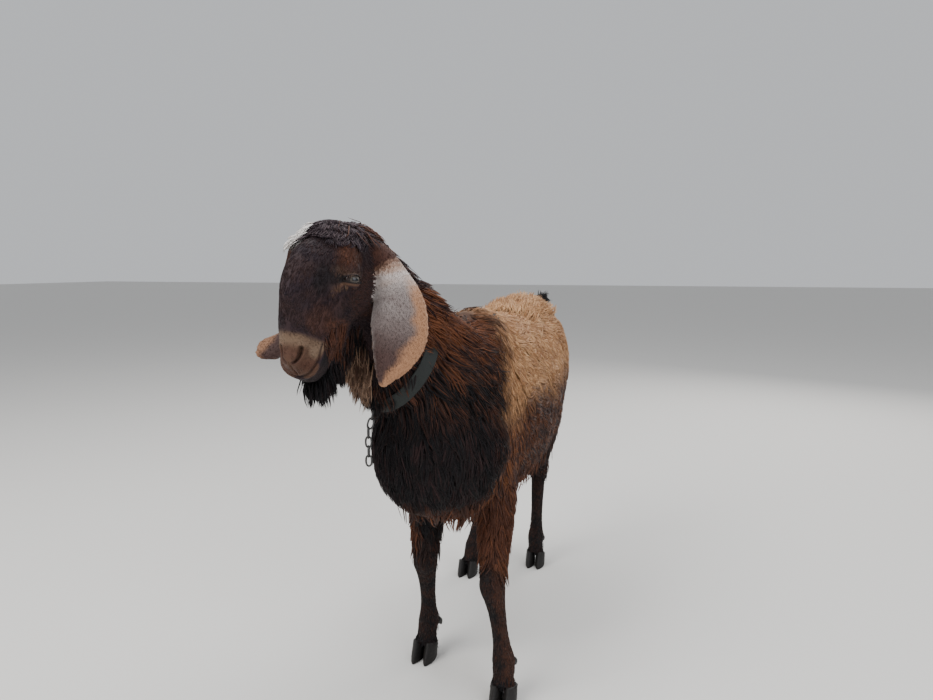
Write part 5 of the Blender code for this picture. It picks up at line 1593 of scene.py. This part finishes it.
def coat_rows(coat):
    """The rows of HAIR blended over the skin, and those of SHORT_HAIR, each at every vertex."""
    y = coat.h[:, 1]
    long_hair = np.tile(HAIR["trunk"], (len(y), 1)).astype(float)
    for name, share in (("neck", coat.neck), ("upper_leg", coat.leg), ("bag", coat.bag)):
        long_hair += (np.array(HAIR[name]) - long_hair) * np.clip(share, 0, 1)[:, None]
    long_hair[:, 0] *= (1 - coat.low) * (1 - coat.head) * (1 - coat.ear)
    short_hair = np.tile(SHORT_HAIR["low_leg"], (len(y), 1)).astype(float)
    on_muzzle = coat.head * step_up(y, 0.195, 0.225)
    for name, share in (("head", coat.head), ("muzzle", on_muzzle), ("ear", coat.ear)):
        short_hair += (np.array(SHORT_HAIR[name]) - short_hair) * np.clip(share, 0, 1)[:, None]
    ear_end = coat.ear * step_up(coat.along, 0.93, 0.96)
    short_hair[:, 0] *= np.clip(coat.low + coat.head + coat.ear, 0, 1) * (1 - ear_end)
    return long_hair, short_hair


def bare(coat):
    """1 where no hair grows: the nose, the lips' line, the eyes, under the strap and below the coronets."""
    made = under_strap(coat.p)
    h = coat.h
    for side in (1, -1):
        far, _, out_of, _ = lid_field(h, side)
        made = np.maximum(made, (far < 0.032) * (1 - step_up(out_of, 1.35, 1.6)))
        made = np.maximum(made, 1 - step_up(distance_to_line(h, NOSTRIL_LINES[side < 0])[0], 0.004, 0.007))
    made = np.maximum(made, 1 - step_up(distance_to_line(h, MOUTH_LINE)[0], 0.003, 0.005))
    for i, leg in enumerate(LEGS):
        height, _ = coronet_height(coat.p, leg)
        on = (coat.leg_index == i) * (coat.p[:, 2] < 0.08)
        made = np.maximum(made, on * (1 - step_up(height, 0.001, 0.003)))
    return np.clip(made, 0, 1)


def fringes(coat):
    """Longer hair of its own places.

    Each row holds a name, where it grows, how many tufts, their size, lie, hang, stiffness and colours.
    """
    x, y, z = coat.p.T
    hx, hy, _ = coat.h.T
    _, ny, nz = coat.n.T
    below = np.array((0.0, 0.0, -1.0))
    off_ear = 1 - coat.ear
    nape = step_up(coat.n @ np.array((0.0, 0.55, 0.83)), 0.70, 0.90)
    nape *= step_up(-y, 0.20, 0.26) * step_up(z, 0.72, 0.78)
    nape *= (1 - step_up(hy, -0.05, -0.02)) * off_ear
    croup = step_up(nz, 0.72, 0.9) * step_up(z, 0.70, 0.74)
    croup *= step_up(y, 0.02, 0.14) * (1 - step_up(y, 0.30, 0.38))
    top = near_spot(coat.h, (0.022, 0.000, 0.030), (0.040, 0.040, 0.038)) * off_ear
    top *= step_up(hx, -0.030, -0.012)
    puff = near_spot(coat.h, (-0.040, 0.020, 0.034), (0.020, 0.028, 0.028)) * off_ear
    chin = near_spot(coat.h, (0.008, 0.214, -0.106), (0.022, 0.036, 0.022))
    jaw = near_spot(coat.h, (0.022, 0.155, -0.118), (0.022, 0.050, 0.030))
    throat = near_spot(coat.h, (0.010, 0.140, -0.180), (0.036, 0.056, 0.050)) * off_ear
    flap = near_spot(coat.h, (0.042, 0.180, -0.062), (0.014, 0.030, 0.034))
    behind_fore = coat.fore * step_up(ny, 0.2, 0.6)
    behind_fore *= step_up(z, 0.27, 0.34) * (1 - step_up(z, 0.46, 0.52))
    behind_hind = (1 - coat.fore) * step_up(ny, 0.3, 0.7)
    behind_hind *= step_up(z, 0.30, 0.38) * (1 - step_up(z, 0.56, 0.64))
    under = step_up(-nz, 0.35, 0.7) * (1 - coat.leg * 0.5)
    under *= step_up(z, 0.34, 0.37) * (1 - step_up(z, 0.50, 0.56))
    heels = step_up(ny, 0.2, 0.6) * step_up(z, 0.045, 0.060) * (1 - step_up(z, 0.085, 0.105))
    coronets = np.zeros(len(x))
    for i, leg in enumerate(LEGS):
        height, _ = coronet_height(coat.p, leg)
        on = (coat.leg_index == i) & (height > 0.001) & (height < 0.016) & (z < 0.09)
        coronets = np.maximum(coronets, on.astype(float))
    off = (coat.p - np.array(COLLAR_CENTRE)) @ np.array(COLLAR_FACING)
    by_collar = step_up(off, 0.010, 0.018) * (1 - step_up(off, 0.036, 0.046)) * (coat.neck > 0.5)
    by_collar *= np.linalg.norm(coat.p - np.array(COLLAR_CENTRE), axis=1) < 0.20
    at_nape = np.maximum(step_up(z, 0.765, 0.785), step_up(-x, 0.100, 0.125))
    at_throat = 1 - step_up(z, 0.655, 0.680)
    by_collar *= at_nape + 0.10 + 0.9 * at_throat
    up_back = (0.0, 0.70, 0.35)
    tail_lie = (0.34, 0.62, -0.10)
    black = (BLACK, BLACK, 0.0)
    throat_pair = (THROAT_DARK, THROAT_PALE, 0.50)
    return (
        ("mane", nape, 1100, (0.048, 0.0030, 0.0010, 0.010, 0.40), up_back, 0.12, 0.20, (BLACK, DEEP_RUST, 0.40)),
        ("croup_hair", croup, 1400, (0.050, 0.0032, 0.0010, 0.032, 0.75), (0.0, 0.85, 0.35), 0.14, 0.45, None),
        ("topknot", top, 1300, (0.030, 0.0026, 0.0008, 0.007, 0.60), None, 0.12, 0.10, (PLUM_WITH_PAINTED_SHEEN, TOPKNOT_WITH_PAINTED_SHEEN, 0.50)),
        ("topknot_right", puff, 1000, (0.026, 0.0024, 0.0008, 0.012, 0.45), None, 0.06, 0.15, (WHITE, PALE, 0.10)),
        ("beard", chin, 800, (0.042, 0.0026, 0.0009, 0.004, 0.35), below, 0.35, 1.0, (BLACK, MAHOGANY, 0.25)),
        ("jaw_hair", jaw, 800, (0.036, 0.0026, 0.0009, 0.004, 0.35), below, 0.30, 0.9, (BLACK, DEEP_RUST, 0.35)),
        ("throat_hair", throat, 1100, (0.052, 0.0030, 0.0010, 0.006, 0.40), below, 0.30, 0.9, throat_pair),
        ("cheek_hair", flap, 260, (0.030, 0.0026, 0.0009, 0.005, 0.30), below, 0.20, 0.4, (UMBER, DEEP_RUST, 0.60)),
        ("forearm_hair", behind_fore, 700, (0.034, 0.0030, 0.0010, 0.009, 0.35), below, 0.25, 0.6, None),
        ("thigh_hair", behind_hind, 700, (0.046, 0.0036, 0.0011, 0.010, 0.35), below, 0.25, 0.6, None),
        ("belly_hair", under, 900, (0.052, 0.0038, 0.0011, 0.012, 0.40), (0.0, 0.35, -1.0), 0.20, 0.6, None),
        ("tail_hair", coat.tail, 800, (0.056, 0.0030, 0.0010, 0.008, 0.45), tail_lie, 0.12, 0.6, black),
        ("coronet_hair", coronets, 640, (0.021, 0.0020, 0.0007, 0.006, 0.25), below, 0.10, 0.6, (BLACK, MAHOGANY, 0.3)),
        ("collar_hair", by_collar, 1500, (0.052, 0.0030, 0.0010, 0.023, 0.40), None, 0.06, 0.25, None),
        ("heel_hair", heels, 320, (0.022, 0.0026, 0.0008, 0.004, 0.30), below, 0.20, 0.5, black),
    )


class Grower:
    """Grows any part of the coat on one skin."""

    def __init__(self, skin, coat):
        self.skin, self.coat = skin, coat
        self.tree = tree_of(skin.data)
        self.share = 1.0
        self.lie = coat.lie()
        self.paint = coat.colours()
        self.chart = uv_charts(coat.p, coat)
        self.map = np.zeros((len(coat.p), 2))
        for number in range(len(CHARTS)):
            used = self.chart == number
            if used.any():
                along, around = chart_place(coat.p, np.full(len(coat.p), number), coat)
                self.map[used] = on_map(along[used], around[used], self.chart[used])

    def tufts(self, name, density, count, sizes, seed, lie=None, paint=None, soft=0.40, vary=0.25, **ways):
        """count tufts by density, of sizes at every vertex or one size for all."""
        count = int(count * self.share)
        corners, shares = scatter(self.skin.data, self.coat, density, count, seed)
        dice = np.random.default_rng(seed + 50)
        roots = pick(self.coat.p, corners, shares)
        normals = unit(pick(self.coat.n, corners, shares))
        if lie is None:
            lies = unit(pick(self.lie, corners, shares))
        else:
            lies = np.tile(lie, (count, 1)).astype(float)
        if np.ndim(sizes) == 2:
            rows = pick(sizes, corners, shares)
        else:
            rows = np.tile(sizes, (count, 1)).astype(float)
        rows[:, 0] *= dice.uniform(1 - vary, 1 + vary, count)
        rows[:, 1] *= dice.uniform(0.75, 1.25, count)
        rows[:, 3] *= dice.uniform(0.5, 1.2, count)
        if paint is None:
            first, second, share = (pick(v, corners, shares) for v in self.paint)
        else:
            first, second = np.tile(paint[0], (count, 1)), np.tile(paint[1], (count, 1))
            share = np.full(count, paint[2])
        lead = 0.5 + 0.5 * waves(roots, 0.018, 9)
        other = np.clip(0.5 + (share - 0.50 * dice.random(count) - 0.50 * lead) / soft, 0, 1)[:, None]
        colours = first * (1 - other) + second * other
        uvs = self.map[corners[:, 0]]
        return grow(name, self.tree, roots, normals, lies, rows, colours, uvs, seed, **ways)


def grow_coat(skin, coat):
    """Every tuft of the body's coat."""
    grower = Grower(skin, coat)
    long_hair, short_hair = coat_rows(coat)
    naked = 1 - bare(coat)
    made = grower.tufts("coat", long_hair[:, 0] * naked, LONG_TUFTS, long_hair[:, 1:], 21)
    density, sizes = short_hair[:, 0] * naked, short_hair[:, 1:]
    made += grower.tufts("fur", density, SHORT_TUFTS, sizes, 22, kind="short", clumping=0.5, soft=1.1)
    for i, (name, where, count, size, lie, hang, stiff, paint) in enumerate(fringes(coat)):
        density = where * naked
        if density.max() > 0:
            made += grower.tufts(name, density, count, size, 31 + i, lie, paint, hang=hang, stiff=stiff)
    return grower.tree, made


def place_objects(objects, material, body="root"):
    for obj in objects:
        obj.data.materials.clear()
        obj.data.materials.append(material)
        obj.data.transform(Matrix.Translation(-BOX_MIDDLE))
        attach(obj, body)


def studio():
    """A pale floor, soft lights and the camera at the photo's place."""
    floor = mesh_object("floor", [(-30, -30, 0), (30, -30, 0), (30, 30, 0), (-30, 30, 0)], [(0, 1, 2, 3)])
    made, _, _ = new_material("pale_floor", 0.8, colour=(0.62, 0.61, 0.59), specular=0.2)
    floor.data.materials.append(made)
    lamps = (
        ("key", (-1.9, -2.6, 3.2), 2.4, 150.0, (1.0, 0.98, 0.95)),
        ("fill", (2.8, -1.8, 1.8), 2.6, 60.0, (0.95, 0.97, 1.0)),
        ("top", (0.0, 0.6, 4.0), 3.0, 110.0, (1.0, 1.0, 1.0)),
        ("back", (1.5, 3.4, 2.2), 2.0, 60.0, (1.0, 0.97, 0.93)),
    )
    for name, place, size, power, colour in lamps:
        lamp = bpy.data.lights.new(name, "AREA")
        lamp.size, lamp.energy, lamp.color = size, power, colour
        obj = bpy.data.objects.new(name, lamp)
        bpy.context.scene.collection.objects.link(obj)
        obj.location = place
        obj.rotation_euler = (Vector((0, 0, 0.5)) - Vector(place)).to_track_quat("-Z", "Y").to_euler()
    world = bpy.data.worlds.new("studio")
    bpy.context.scene.world = world
    world.use_nodes = True
    world.node_tree.nodes["Background"].inputs["Color"].default_value = (0.80, 0.82, 0.85, 1.0)
    world.node_tree.nodes["Background"].inputs["Strength"].default_value = 0.75
    camera = bpy.data.cameras.new("camera")
    camera.sensor_width, camera.lens = 36.0, 27.05
    obj = bpy.data.objects.new("camera", camera)
    bpy.context.scene.collection.objects.link(obj)
    obj.location = Vector((0.436, -1.665, 0.89)) - BOX_MIDDLE
    turn, dip = math.radians(17), math.radians(6.9)
    view = Vector((-math.sin(turn) * math.cos(dip), math.cos(turn) * math.cos(dip), -math.sin(dip)))
    obj.rotation_euler = view.to_track_quat("-Z", "Y").to_euler()
    bpy.context.scene.camera = obj


def main():
    skin, ear_trees = make_skin()
    coat = Coat(positions(skin.data), normals_of(skin.data), ear_trees)
    finish_skin(skin, coat)
    tree, tufts = grow_coat(skin, coat)
    hair = hair_material()
    band = strap("collar_band", tree)
    links = chain("collar_links", tree)
    horn = horn_material()
    claws = []
    for leg in LEGS:
        for side, word in ((1, "left"), (-1, "right")):
            made = claw(f"hoof_{leg}_{word}", leg, side)
            shade_smooth(made.data)
            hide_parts(f"claw_{leg}_{word}")
            claws.append(made)
    spurs = dewclaws("dewclaws")
    eyes = [eyeball("eyeball_left", 1), eyeball("eyeball_right", -1)]
    for obj in (band, links, spurs):
        shade_smooth(obj.data)
    place_objects([skin], hide_material())
    place_objects(tufts, hair)
    place_objects([band], strap_material())
    place_objects([links], steel_material())
    place_objects([*claws, spurs], horn)
    place_objects(eyes, eye_material())
    flesh = ["torso", "neck", "tail", "head", "scrotum", "ear_left", "ear_right"]
    for part in ("forearm", "foreleg", "thigh", "hindleg"):
        flesh += [f"{part}_left", f"{part}_right"]
    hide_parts(*flesh)
    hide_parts("collar_strap")
    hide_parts("collar_chain")
    for obj, word in zip(eyes, ("left", "right")):
        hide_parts("eye_" + word)
    studio()


main()
bpy.context.view_layer.update()
